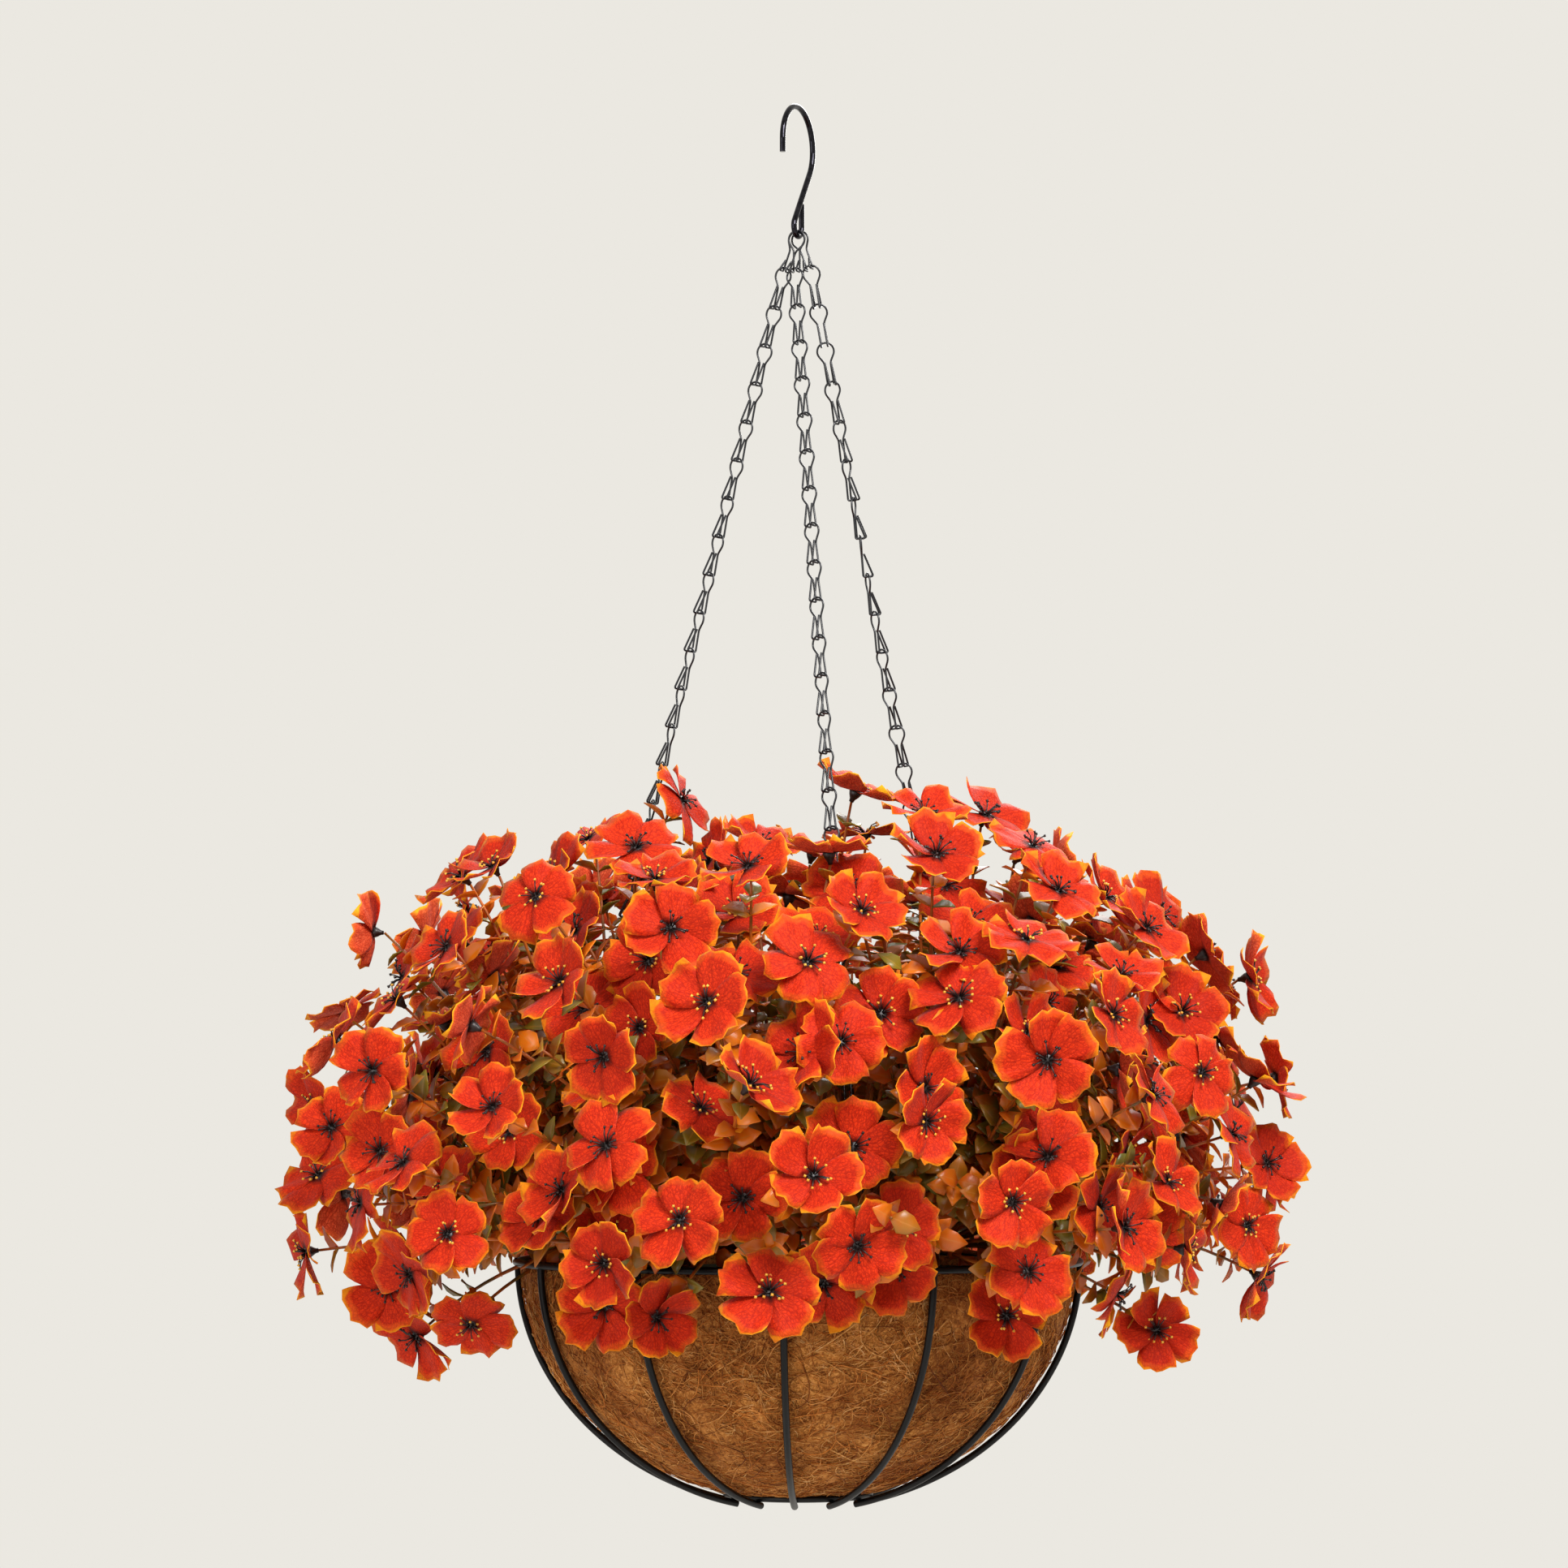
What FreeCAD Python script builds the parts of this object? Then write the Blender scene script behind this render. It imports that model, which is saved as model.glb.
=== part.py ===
"""Hanging basket: wire bowl on three link chains and an S-hook, with a coir liner and bushes.

Millimetres, +Z up.  The origin is the point inside the top of the hook's upper bow that
bears on a ceiling hook or bracket.  The hook is bent in the YZ plane.  Angles around the
basket are counted from -Y towards +X.
"""
import FreeCAD, Part
import math
import os
import Sketcher

from FreeCAD import Placement, Rotation, Vector

SIZES = {
    # S-hook
    "hook_wire": 3.2,
    "upper_bow_radius": 21.0,
    "lower_bow_radius": 5.3,
    "hook_length": 72.6,
    "upper_leg": 7.4,
    "lower_leg": 13.0,
    # chain links, bent from one wire each
    "link_wire": 1.1,
    "link_bow_radius": 4.65,
    "link_waist_drop": 10.8,
    "link_leg_half_gap": 1.75,
    "link_length": 22.9,
    "link_fold": 5.5,
    "link_fold_rise": 12.5,
    "link_bend_radius": 0.9,
    "link_waist_bend": 5.0,
    "link_seat_gap": 0.3,
    "link_seat_out": 2.2,
    "links_per_chain": 27,
    # the three top links, side by side in the hook
    "hook_seat_gap": 0.35,
    "swing_seat_gap": 0.5,
    "top_link_pitch": 1.5,
    "top_link_splay": 20.0,
    "top_link_fold_rise": 6.0,
    "chain_count": 3,
    "first_chain_angle": -85.0,
    # wire bowl
    "rim_wire": 4.0,
    "rim_radius": 150.5,
    "rib_wire": 3.7,
    "rib_count": 12,
    "first_rib_angle": 20.0,
    "bowl_depth": 131.0,
    "base_ring_radius": 39.0,
    "rib_tail": 3.0,
    "weld_depth": 0.25,
    "rim_hook_gap": 0.3,
    # liner and foam
    "liner_side_gap": 2.0,
    "liner_base_gap": 0.3,
    "liner_wall": 8.0,
    "liner_top_drop": 1.0,
    "liner_base_flat": 2.0,
    "foam_gap": 0.3,
    "foam_top_drop": 6.0,
    # bushes of artificial flowers
    "bush_count": 6,
    "bush_stake_radius": 3.0,
    "bush_stake_depth": 45.0,
    "bush_stake_gap": 0.3,
    "bush_stake_inset": 45.5,
    "crown_radius": 64.0,
    "bush_gap": 2.0,
    "bush_chain_gap": 3.8,
    "bush_floor": 7.0,
    "bush_rim_gap": 5.5,
    "bush_skirt_overhang": 54.5,
    "bush_skirt_drop": 48.0,
    "bush_overhang": 117.5,
    "bush_widest_height": 62.0,
    "bush_top": 246.0,
}

doc = FreeCAD.newDocument("hanging_basket")
sheet = doc.addObject("Spreadsheet::Sheet", "Sizes")
for row, (alias, number) in enumerate(SIZES.items(), start=1):
    sheet.set("A%d" % row, alias)
    sheet.set("B%d" % row, str(number))
    sheet.setAlias("B%d" % row, alias)
doc.recompute()

sub_parts = []


def size(alias):
    """A driving size, read from the sheet."""
    return float(sheet.get(alias))


def keep(part, label):
    """Name a finished sub-part and put it on the list that is written out."""
    part.Label = label
    sub_parts.append(part)
    return part


def bind(part, **expressions):
    """Bind properties to expressions; a double underscore in a name stands for a dot."""
    for name, expression in expressions.items():
        part.setExpression(name.replace("__", "."), expression)


def feature(label, shape, placement=None):
    """A sub-part whose shape is worked out here from the sheet's sizes."""
    part = doc.addObject("Part::Feature", label)
    part.Shape = shape
    part.Placement = placement or Placement()
    return keep(part, label)


def around(angle_deg, radius=1.0, height=0.0):
    """The point at an angle counted from -Y towards +X."""
    angle = math.radians(angle_deg)
    return Vector(radius * math.sin(angle), -radius * math.cos(angle), height)


# ---------------------------------------------------------------- levels worked out from the sizes

# The hook's bearing point is the origin, so its wire's centre line passes half a wire above it.
UPPER_BOW_LEVEL = size("hook_wire") / 2 - size("upper_bow_radius")
LOWER_BOW_LEVEL = (
    size("hook_wire") - size("hook_length") + size("lower_bow_radius"))
SEAT_LEVEL = LOWER_BOW_LEVEL - size("lower_bow_radius")

# A bow of this radius crosses the two legs' folds a little below its own top.
BOW_DIP = size("link_bow_radius") - math.sqrt(
    size("link_bow_radius") ** 2 - size("link_leg_half_gap") ** 2)


def link_drop(seat_gap):
    """Height from a link's bow top down to the bow top of the link that hangs in its folds."""
    return size("link_length") - size("link_wire") - seat_gap - BOW_DIP


LINK_PITCH = math.hypot(link_drop(size("link_seat_gap")), size("link_seat_out"))
CHAIN_LENGTH = LINK_PITCH * size("links_per_chain")
RIM_LEVEL = SEAT_LEVEL - math.sqrt(CHAIN_LENGTH ** 2 - size("rim_radius") ** 2)

CHAIN_NAMES = ["left", "front", "right"]
# How each chain's links turn on their way down: (share of the chain, angle their folds face).
CHAIN_TURNS = {
    "left": [(0.0, 0.0), (0.5, -44.0), (1.0, -85.0)],
    "front": [(0.0, 0.0), (0.5, -25.0), (1.0, 35.0)],
    "right": [(0.0, 0.0), (0.08, 18.0), (0.30, 113.0), (0.52, 180.0), (1.0, 155.0)],
}
# The top links hang side by side in the hook: (place in the row, way that they splay).
TOP_LINK_PLACES = {"left": (0, 1), "front": (-1, 0), "right": (1, -1)}


# ---------------------------------------------------------------- bent wire

def rounded_path(points, radii):
    """Straight runs between points, joined by tangent arcs of the given radii."""
    edges = []
    start = points[0]
    for before, corner, after, radius in zip(points, points[1:], points[2:], radii):
        inward = (before - corner).normalize()
        outward = (after - corner).normalize()
        half_angle = inward.getAngle(outward) / 2
        setback = radius / math.tan(half_angle)
        first = corner + inward * setback
        last = corner + outward * setback
        bisector = (inward + outward).normalize()
        centre = corner + bisector * (radius / math.sin(half_angle))
        middle = centre - bisector * radius
        edges.append(Part.LineSegment(start, first).toShape())
        edges.append(Part.Arc(first, middle, last).toShape())
        start = last
    edges.append(Part.LineSegment(start, points[-1]).toShape())
    return edges


def wire_along(edges, diameter):
    """Round wire swept along a path of tangent edges."""
    path = Part.Wire(edges)
    first = edges[0]
    tangent = first.tangentAt(first.FirstParameter)
    circle = Part.makeCircle(diameter / 2, first.valueAt(first.FirstParameter), tangent)
    solid = path.makePipeShell([Part.Wire(circle)], True, False)
    expected = math.pi * diameter ** 2 / 4 * path.Length
    if abs(solid.Volume - expected) > 0.02 * expected:
        raise ValueError("wire volume %.1f is not %.1f" % (solid.Volume, expected))
    return solid


def bow_edges(waist_half_gap, waist_level):
    """The bow of a link, from one waist over the top to the other, in the XZ plane.

    A circle under the link's top, left by the tangent lines that reach the waist points.
    """
    radius = size("link_bow_radius")
    centre = Vector(0, 0, -radius)
    waist = Vector(waist_half_gap, 0, waist_level)
    reach = waist - centre
    lean = math.acos(radius / reach.Length)
    direction = math.atan2(reach.z, reach.x) + lean
    tangent_point = centre + Vector(math.cos(direction), 0, math.sin(direction)) * radius
    return waist, tangent_point


def mirrored(point):
    """The same point on the link's other leg."""
    return Vector(-point.x, point.y, point.z)


def leg_and_bow(leg_points, leg_radii):
    """A link's wire: one leg up from its end, over the bow, and the same leg down again.

    The leg's points run from the wire's end up to the point below the waist.
    """
    waist, bow_start = bow_edges(size("link_leg_half_gap"), -size("link_waist_drop"))
    rising = rounded_path(
        leg_points + [waist, bow_start], leg_radii + [size("link_waist_bend")])
    bow = Part.Arc(bow_start, Vector(0, 0, 0), mirrored(bow_start)).toShape()
    falling = rounded_path(
        [mirrored(bow_start), mirrored(waist)] + [mirrored(p) for p in reversed(leg_points)],
        [size("link_waist_bend")] + list(reversed(leg_radii)))
    return wire_along(rising + [bow] + falling, size("link_wire"))


def chain_link(fold_rise):
    """One link: bow top at the origin, legs down -Z, ends folded out along -Y and back up."""
    half_gap = size("link_leg_half_gap")
    foot = -size("link_length")
    beside_leg = size("link_wire") + size("link_seat_gap") / 2
    end = Vector(half_gap, -beside_leg, foot + fold_rise)
    toe = Vector(half_gap, -size("link_fold"), foot)
    heel = Vector(half_gap, 0, foot)
    bend = size("link_bend_radius")
    return leg_and_bow([end, toe, heel], [bend, bend])


def rim_hook(length):
    """The end link: each leg passes inside the rim wire, curls under it and back up outside.

    The bow's top is at the origin and the rim wire's centre is at -length, half a curl out.
    """
    half_gap = size("link_leg_half_gap")
    curl = rim_curl_radius()
    bottom = -length - curl
    beside_leg = size("link_wire") + size("link_seat_gap")
    end = Vector(half_gap, -beside_leg, -length + size("link_fold_rise"))
    shoulder = Vector(half_gap, -2 * curl, -length + curl)
    outer = Vector(half_gap, -2 * curl, bottom)
    inner = Vector(half_gap, 0, bottom)
    # Two bends of just under the curl's radius, so that a short flat is left between them.
    bend = curl * 0.98
    return leg_and_bow([end, shoulder, outer, inner], [size("link_bend_radius"), bend, bend])


def rim_curl_radius():
    """Centre line radius of the curl that holds the rim wire."""
    return (size("rim_wire") + size("link_wire")) / 2 + size("rim_hook_gap")


def square_to(down, facing_deg):
    """The unit vector nearest to a compass angle that is square to a link's length."""
    facing = around(facing_deg)
    return (facing - down * facing.dot(down) / down.Length ** 2).normalize()


def link_placement(top, down, facing_deg):
    """Stand a link with its bow top at a point, its legs along down, its folds facing out."""
    up = -Vector(down).normalize()
    folds = square_to(down, facing_deg)
    across = (-folds).cross(up)
    return Placement(top, Rotation(across, -folds, up, "XYZ"))


def turn_at(name, share):
    """The angle that the folds face, a share of the way down the chain."""
    marks = CHAIN_TURNS[name]
    for (low, start), (high, end) in zip(marks, marks[1:]):
        if share <= high:
            return start + (end - start) * (share - low) / (high - low)
    return marks[-1][1]


# ---------------------------------------------------------------- S-hook

def s_hook():
    """A wire S: two bows of different size joined by the line tangent to both.

    The line leaves the upper bow on the right and enters the lower bow on the left, so its
    lean from the vertical has (sum of the radii) / (distance of the centres) as its sine.
    """
    body = doc.addObject("PartDesign::Body", "s_hook")
    doc.recompute()
    planes = {feature.Role: feature for feature in body.Origin.OriginFeatures}
    upper = size("upper_bow_radius")
    lower = size("lower_bow_radius")
    upper_centre = Vector(0, UPPER_BOW_LEVEL, 0)
    lower_centre = Vector(0, LOWER_BOW_LEVEL, 0)
    lean = math.asin((upper + lower) / (UPPER_BOW_LEVEL - LOWER_BOW_LEVEL))
    normal = Vector(math.cos(lean), -math.sin(lean), 0)
    off_upper = upper_centre + normal * upper
    on_lower = lower_centre - normal * lower
    tip = Vector(-upper, UPPER_BOW_LEVEL - size("upper_leg"), 0)
    bow_start = Vector(-upper, UPPER_BOW_LEVEL, 0)
    bow_end = Vector(lower, LOWER_BOW_LEVEL, 0)
    toe = Vector(lower, LOWER_BOW_LEVEL + size("lower_leg"), 0)

    path = body.newObject("Sketcher::SketchObject", "hook_path")
    path.AttachmentSupport = [(planes["YZ_Plane"], "")]
    path.MapMode = "FlatFace"
    circle = Part.Circle
    axis = Vector(0, 0, 1)
    path.addGeometry([
        Part.LineSegment(tip, bow_start),
        Part.ArcOfCircle(circle(upper_centre, axis, upper), -lean, math.pi),
        Part.LineSegment(off_upper, on_lower),
        Part.ArcOfCircle(circle(lower_centre, axis, lower), math.pi - lean, 2 * math.pi),
        Part.LineSegment(bow_end, toe),
    ], False)
    path.addConstraint([
        Sketcher.Constraint("Tangent", 0, 2, 1, 2),
        Sketcher.Constraint("Tangent", 1, 1, 2, 1),
        Sketcher.Constraint("Tangent", 2, 2, 3, 1),
        Sketcher.Constraint("Tangent", 3, 2, 4, 1),
        Sketcher.Constraint("Vertical", 0),
        Sketcher.Constraint("Vertical", 4),
        Sketcher.Constraint("PointOnObject", 1, 3, -2),
        Sketcher.Constraint("PointOnObject", 3, 3, -2),
    ])
    dimensions = [
        ("Radius", (1,), upper, "Sizes.upper_bow_radius"),
        ("Radius", (3,), lower, "Sizes.lower_bow_radius"),
        ("DistanceY", (0,), size("upper_leg"), "Sizes.upper_leg"),
        ("DistanceY", (4,), size("lower_leg"), "Sizes.lower_leg"),
        ("DistanceY", (-1, 1, 1, 3), UPPER_BOW_LEVEL,
         "Sizes.hook_wire / 2 - Sizes.upper_bow_radius"),
        ("DistanceY", (-1, 1, 3, 3), LOWER_BOW_LEVEL,
         "Sizes.hook_wire - Sizes.hook_length + Sizes.lower_bow_radius"),
    ]
    for kind, where, value, expression in dimensions:
        index = path.addConstraint(Sketcher.Constraint(kind, *where, value))
        path.setExpression("Constraints[%d]" % index, expression)

    section = body.newObject("Sketcher::SketchObject", "hook_section")
    section.AttachmentSupport = [(planes["XY_Plane"], "")]
    section.MapMode = "FlatFace"
    section.addGeometry(circle(Vector(0, 0, 0), axis, size("hook_wire") / 2), False)
    section.addConstraint(Sketcher.Constraint("Coincident", 0, 3, -1, 1))
    index = section.addConstraint(Sketcher.Constraint("Diameter", 0, size("hook_wire")))
    section.setExpression("Constraints[%d]" % index, "Sizes.hook_wire")
    section.setExpression("AttachmentOffset.Base.y", "-Sizes.upper_bow_radius")
    section.setExpression(
        "AttachmentOffset.Base.z",
        "Sizes.hook_wire / 2 - Sizes.upper_bow_radius - Sizes.upper_leg")

    pipe = body.newObject("PartDesign::AdditivePipe", "hook_wire_bend")
    pipe.Profile = section
    pipe.Spine = path
    body.Tip = pipe
    keep(body, "s_hook")


# ---------------------------------------------------------------- chains

def bow_roll(upper_link, pull):
    """How far a bow's top moves as it rolls on the two folds above to face along its pull.

    The round bow turns about its own centre in the plane of the upper link.
    """
    upper_down = upper_link.Rotation.multVec(Vector(0, 0, -1))
    square = upper_link.Rotation.multVec(Vector(0, 1, 0))
    in_plane = (pull - square * pull.dot(square)).normalize()
    return (upper_down - in_plane) * size("link_bow_radius")


def chains():
    """Three chains, each from the hook's lower bow straight down to its point on the rim."""
    seat_level = SEAT_LEVEL + (size("hook_wire") + size("link_wire")) / 2
    link = chain_link(size("link_fold_rise"))
    top_link = chain_link(size("top_link_fold_rise"))
    last = int(size("links_per_chain"))
    count = int(size("chain_count"))
    lean = math.atan2(size("link_seat_out"), link_drop(size("link_seat_gap")))
    inside_bow = size("lower_bow_radius") - (size("hook_wire") + size("link_wire")) / 2
    for number, name in enumerate(CHAIN_NAMES):
        # A top link beside the middle lies a little higher, on the slope of the hook's bow,
        # and turns about the hook's wire towards its own chain.
        place, way = TOP_LINK_PLACES[name]
        offset = place * size("top_link_pitch")
        climb = inside_bow - math.sqrt(inside_bow ** 2 - offset ** 2)
        seat = Vector(0, offset, seat_level + size("hook_seat_gap") + climb)
        splay = Rotation(Vector(0, 1, 0), way * size("top_link_splay"))
        swing = Placement(Vector(), splay, Vector(0, 0, SEAT_LEVEL))
        top_placement = swing * Placement(seat, Rotation())
        feature("top_link_" + name, top_link, top_placement)

        # The rest hangs in the top link's folds and pulls towards the rim.
        seat = top_placement.multVec(
            Vector(0, -size("link_seat_out"), -link_drop(size("swing_seat_gap"))))
        angle = size("first_chain_angle") + number * 360.0 / count
        rim_point = around(angle, size("rim_radius"), RIM_LEVEL)
        first = seat + bow_roll(top_placement, rim_point - seat)
        curl_side = square_to(rim_point - first, angle) * rim_curl_radius()
        target = rim_point - curl_side
        down = (target - first).normalize()
        tops = [first + down * (LINK_PITCH * step) for step in range(last - 1)]
        links = []
        for step, top in enumerate(tops[:-1]):
            facing = turn_at(name, (step + 1) / (last - 1))
            # Each link hangs a little way out in the folds above, so its legs lean back.
            legs = down * math.cos(lean) - square_to(down, facing) * math.sin(lean)
            placed = link.copy()
            placed.Placement = link_placement(top, legs, facing)
            links.append(placed)
        feature("chain_" + name, Part.makeCompound(links))

        reach = target - tops[-1]
        hook = rim_hook(reach.Length)
        feature("rim_hook_" + name, hook, link_placement(tops[-1], reach, angle))
        print("%s end link reaches %.2f" % (name, reach.Length))


# ---------------------------------------------------------------- wire bowl

def bowl_point(half_width, depth, lean):
    """A point of the bowl's quarter ellipse in the XZ plane; lean is 0 at rim level."""
    return Vector(half_width * math.cos(lean), 0, -depth * math.sin(lean))


def bowl_curve(half_width, depth, top_drop, end_radius):
    """The quarter ellipse from top_drop under the rim to end_radius from the axis.

    Returns the curve as one edge, and its upper and lower end points.
    """
    top_lean = math.asin(top_drop / depth)
    end_lean = math.acos(end_radius / half_width)
    side = bowl_point(half_width, depth, 0.0)
    base = Vector(0, 0, -depth)
    if half_width >= depth:
        arc = Part.ArcOfEllipse(Part.Ellipse(side, base, Vector()), top_lean, end_lean)
    else:
        # The long axis stands upright, so this ellipse is counted from its base.
        arc = Part.ArcOfEllipse(Part.Ellipse(base, side, Vector()),
                                math.pi / 2 - end_lean, math.pi / 2 - top_lean)
    return (arc.toShape(), bowl_point(half_width, depth, top_lean),
            bowl_point(half_width, depth, end_lean))


def wire_bowl():
    """Rim ring, twelve ribs butted under it, and the base ring on the ribs' lower ends."""
    rim = doc.addObject("Part::Torus", "rim_ring")
    bind(rim, Radius1="Sizes.rim_radius", Radius2="Sizes.rim_wire / 2")
    rim.Placement.Base = Vector(0, 0, RIM_LEVEL)
    keep(rim, "rim_ring")

    top_drop = size("rim_wire") / 2 - size("weld_depth")
    half_width = size("rim_radius")
    depth = size("bowl_depth")
    path = bowl_curve(half_width, depth, top_drop, size("base_ring_radius") - size("rib_tail"))[0]
    rib = wire_along([path], size("rib_wire"))
    count = int(size("rib_count"))
    for number in range(count):
        angle = size("first_rib_angle") + number * 360.0 / count
        # The rib is bent in the XZ plane, whose +X is 90 degrees round from -Y.
        turn = Rotation(Vector(0, 0, 1), angle - 90.0)
        feature("rib_%02d" % (number + 1), rib.copy(), Placement(Vector(0, 0, RIM_LEVEL), turn))

    # The base ring lies on the ribs: one wire further in, along the ribs' own normal.
    seat = bowl_point(half_width, depth, math.acos(size("base_ring_radius") / half_width))
    inward = Vector(-seat.x / half_width ** 2, 0, -seat.z / depth ** 2).normalize()
    centre = seat + inward * (size("rib_wire") - size("weld_depth"))
    ring = doc.addObject("Part::Torus", "bottom_ring")
    bind(ring, Radius2="Sizes.rib_wire / 2")
    ring.Radius1 = centre.x
    ring.Placement.Base = Vector(0, 0, RIM_LEVEL + centre.z)
    keep(ring, "bottom_ring")
    return centre


def revolved(outline_edges):
    """A solid turned about the Z axis from a closed outline in the XZ plane."""
    face = Part.Face(Part.Wire(outline_edges))
    return face.revolve(Vector(), Vector(0, 0, 1), 360)


def line(start, end):
    return Part.LineSegment(start, end).toShape()


def liner_outer(ring_centre):
    """Half width and depth of the liner's outside, which rests on the base ring."""
    half_width = size("rim_radius") - size("rib_wire") / 2 - size("liner_side_gap")
    ring_top_depth = -ring_centre.z - size("rib_wire") / 2 - size("liner_base_gap")
    # The ellipse is as far down as that where it passes over the ring.
    return half_width, ring_top_depth / math.sqrt(1 - (ring_centre.x / half_width) ** 2)


def liner_and_foam(ring_centre):
    """The fibre liner, a turned bowl, and the foam block that fills it below the top."""
    half_width, depth = liner_outer(ring_centre)
    wall = size("liner_wall")
    drop = size("liner_top_drop")
    flat = size("liner_base_flat")
    outer, outer_top, outer_end = bowl_curve(half_width, depth, drop, flat)
    inner, inner_top, inner_end = bowl_curve(half_width - wall, depth - wall, drop, flat)
    place = Placement(Vector(0, 0, RIM_LEVEL), Rotation())
    outer_pole = Vector(0, 0, outer_end.z)
    inner_pole = Vector(0, 0, inner_end.z)
    outline = [outer, line(outer_end, outer_pole), line(outer_pole, inner_pole),
               line(inner_pole, inner_end), inner, line(inner_top, outer_top)]
    feature("coir_liner", revolved(Part.__sortEdges__(outline)), place)

    inset = wall + size("foam_gap")
    foam_drop = size("foam_top_drop")
    side, top, bottom = bowl_curve(half_width - inset, depth - inset, foam_drop, flat)
    centre = Vector(0, 0, top.z)
    pole = Vector(0, 0, bottom.z)
    foam = revolved(Part.__sortEdges__([
        side, line(bottom, pole), line(pole, centre), line(centre, top)]))
    hole_radius = size("bush_stake_radius") + size("bush_stake_gap")
    for spot in stake_spots():
        mouth = Vector(spot.x, spot.y, top.z)
        hole = Part.makeCylinder(hole_radius, size("bush_stake_depth"), mouth, Vector(0, 0, -1))
        foam = foam.cut(hole)
    feature("foam_block", foam, place)


# ---------------------------------------------------------------- bushes

def stake_spots():
    """The centre and one point in each outer bush's sector."""
    count = int(size("bush_count"))
    first = size("first_chain_angle") + 180.0 / count
    ring_radius = size("rim_radius") - size("bush_stake_inset")
    ring = [around(first + number * 360.0 / count, ring_radius)
            for number in range(count)]
    return [Vector(0, 0, 0)] + ring


def bush_names():
    return ["centre"] + [str(number + 1) for number in range(int(size("bush_count")))]


def stakes():
    """Plastic stakes in the foam, each up to the underside of its bush."""
    bottom = -size("foam_top_drop") - size("bush_stake_depth") + size("bush_stake_gap")
    height = size("bush_floor") - size("bush_stake_gap") - bottom
    for name, spot in zip(bush_names(), stake_spots()):
        stake = doc.addObject("Part::Cylinder", "stake_" + name)
        bind(stake, Radius="Sizes.bush_stake_radius")
        stake.Height = height
        stake.Placement.Base = spot + Vector(0, 0, RIM_LEVEL + bottom)
        keep(stake, "stake_" + name)


def bushes():
    """Foliage as one dome, cut into a middle bush and six round it, clear of the chains."""
    floor = size("bush_floor")
    rim = size("rim_radius")
    top = Vector(0, 0, size("bush_top"))
    widest = Vector(rim + size("bush_overhang"), 0, size("bush_widest_height"))
    rise = top.z - widest.z
    shoulder = Vector(widest.x * math.sqrt(0.5), 0, widest.z + rise * math.sqrt(0.5))
    hem_outer = Vector(rim + size("bush_skirt_overhang"), 0, -size("bush_skirt_drop"))
    hem_inner = Vector(rim + size("rim_wire") / 2 + size("bush_rim_gap"), 0, hem_outer.z)
    under = (widest.z - hem_outer.z) * 0.5
    flank = Vector(widest.x - (widest.x - hem_outer.x) * 0.28, 0, widest.z - under)
    eave = Vector(hem_inner.x, 0, floor)
    middle = Vector(0, 0, floor)
    dome = revolved([
        Part.Arc(top, shoulder, widest).toShape(),
        Part.Arc(widest, flank, hem_outer).toShape(),
        line(hem_outer, hem_inner),
        line(hem_inner, eave),
        line(eave, middle),
        line(middle, top),
    ])
    reach = 2 * widest.x
    low = hem_outer.z - floor
    height = reach
    crown_core = Part.makeCylinder(size("crown_radius"), height, Vector(0, 0, low))
    place = Placement(Vector(0, 0, RIM_LEVEL), Rotation())
    feature("bush_centre", dome.common(crown_core), place)

    ring = dome.cut(Part.makeCylinder(
        size("crown_radius") + size("bush_gap"), height, Vector(0, 0, low)))
    count = int(size("bush_count"))
    sector = 360.0 / count
    per_chain = count // int(size("chain_count"))
    chain_slot = 2 * (size("link_bow_radius") + size("bush_chain_gap")) + size("link_wire")
    for number in range(count):
        start = size("first_chain_angle") + number * sector
        sides = [(start, number % per_chain == 0),
                 (start + sector, (number + 1) % per_chain == 0)]
        half_gaps = [chain_slot / 2 if at_chain else size("bush_gap") / 2
                     for angle, at_chain in sides]
        # The wedge between two upright planes, each stood off its boundary by its own gap.
        first_edge = around(sides[0][0], reach)
        last_edge = around(sides[1][0], reach)
        first_off = around(sides[0][0] + 90.0, half_gaps[0])
        last_off = around(sides[1][0] - 90.0, half_gaps[1])
        apex = meeting_point(first_off, first_edge, last_off, last_edge)
        wedge = Part.makePolygon([
            point + Vector(0, 0, low) for point in (
                apex, apex + first_edge, apex + last_edge, apex)])
        prism = Part.Face(wedge).extrude(Vector(0, 0, height))
        feature("bush_%d" % (number + 1), ring.common(prism), place)


def meeting_point(first, first_way, second, second_way):
    """Where two lines in the XY plane cross."""
    gap = second - first
    cross = first_way.x * second_way.y - first_way.y * second_way.x
    along = (gap.x * second_way.y - gap.y * second_way.x) / cross
    return first + first_way * along


# ---------------------------------------------------------------- build, check and write

s_hook()
chains()
base_ring_centre = wire_bowl()
liner_and_foam(base_ring_centre)
stakes()
bushes()
doc.recompute()

for item in doc.Objects:
    if "Invalid" in item.State or "Error" in item.State:
        raise RuntimeError("%s did not recompute: %s" % (item.Label, item.State))
for part in sub_parts:
    if part.Shape.isNull() or not part.Shape.isValid():
        raise RuntimeError("%s has no valid shape" % part.Label)

os.makedirs("parts", exist_ok=True)
for part in sub_parts:
    part.Shape.exportStep("parts/%s.step" % part.Label)
print("%d sub-parts, rim level %.2f, link pitch %.2f" % (
    len(sub_parts), RIM_LEVEL, LINK_PITCH))
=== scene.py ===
# %% [markdown]
# # A hanging basket of artificial flowers
#
# The basket is a black wire bowl with a coconut-fibre liner.  Three chains of bent wire links
# carry it from one S-hook, and seven bushes of cloth flowers stand in foam inside it.
# The metal comes ready made as a frame, at its real size, and gets its finishes here.
# The soft things, fibre, leaves and petals, are surfaces worked out with numpy.

# %% Load the frame
import math

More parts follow.
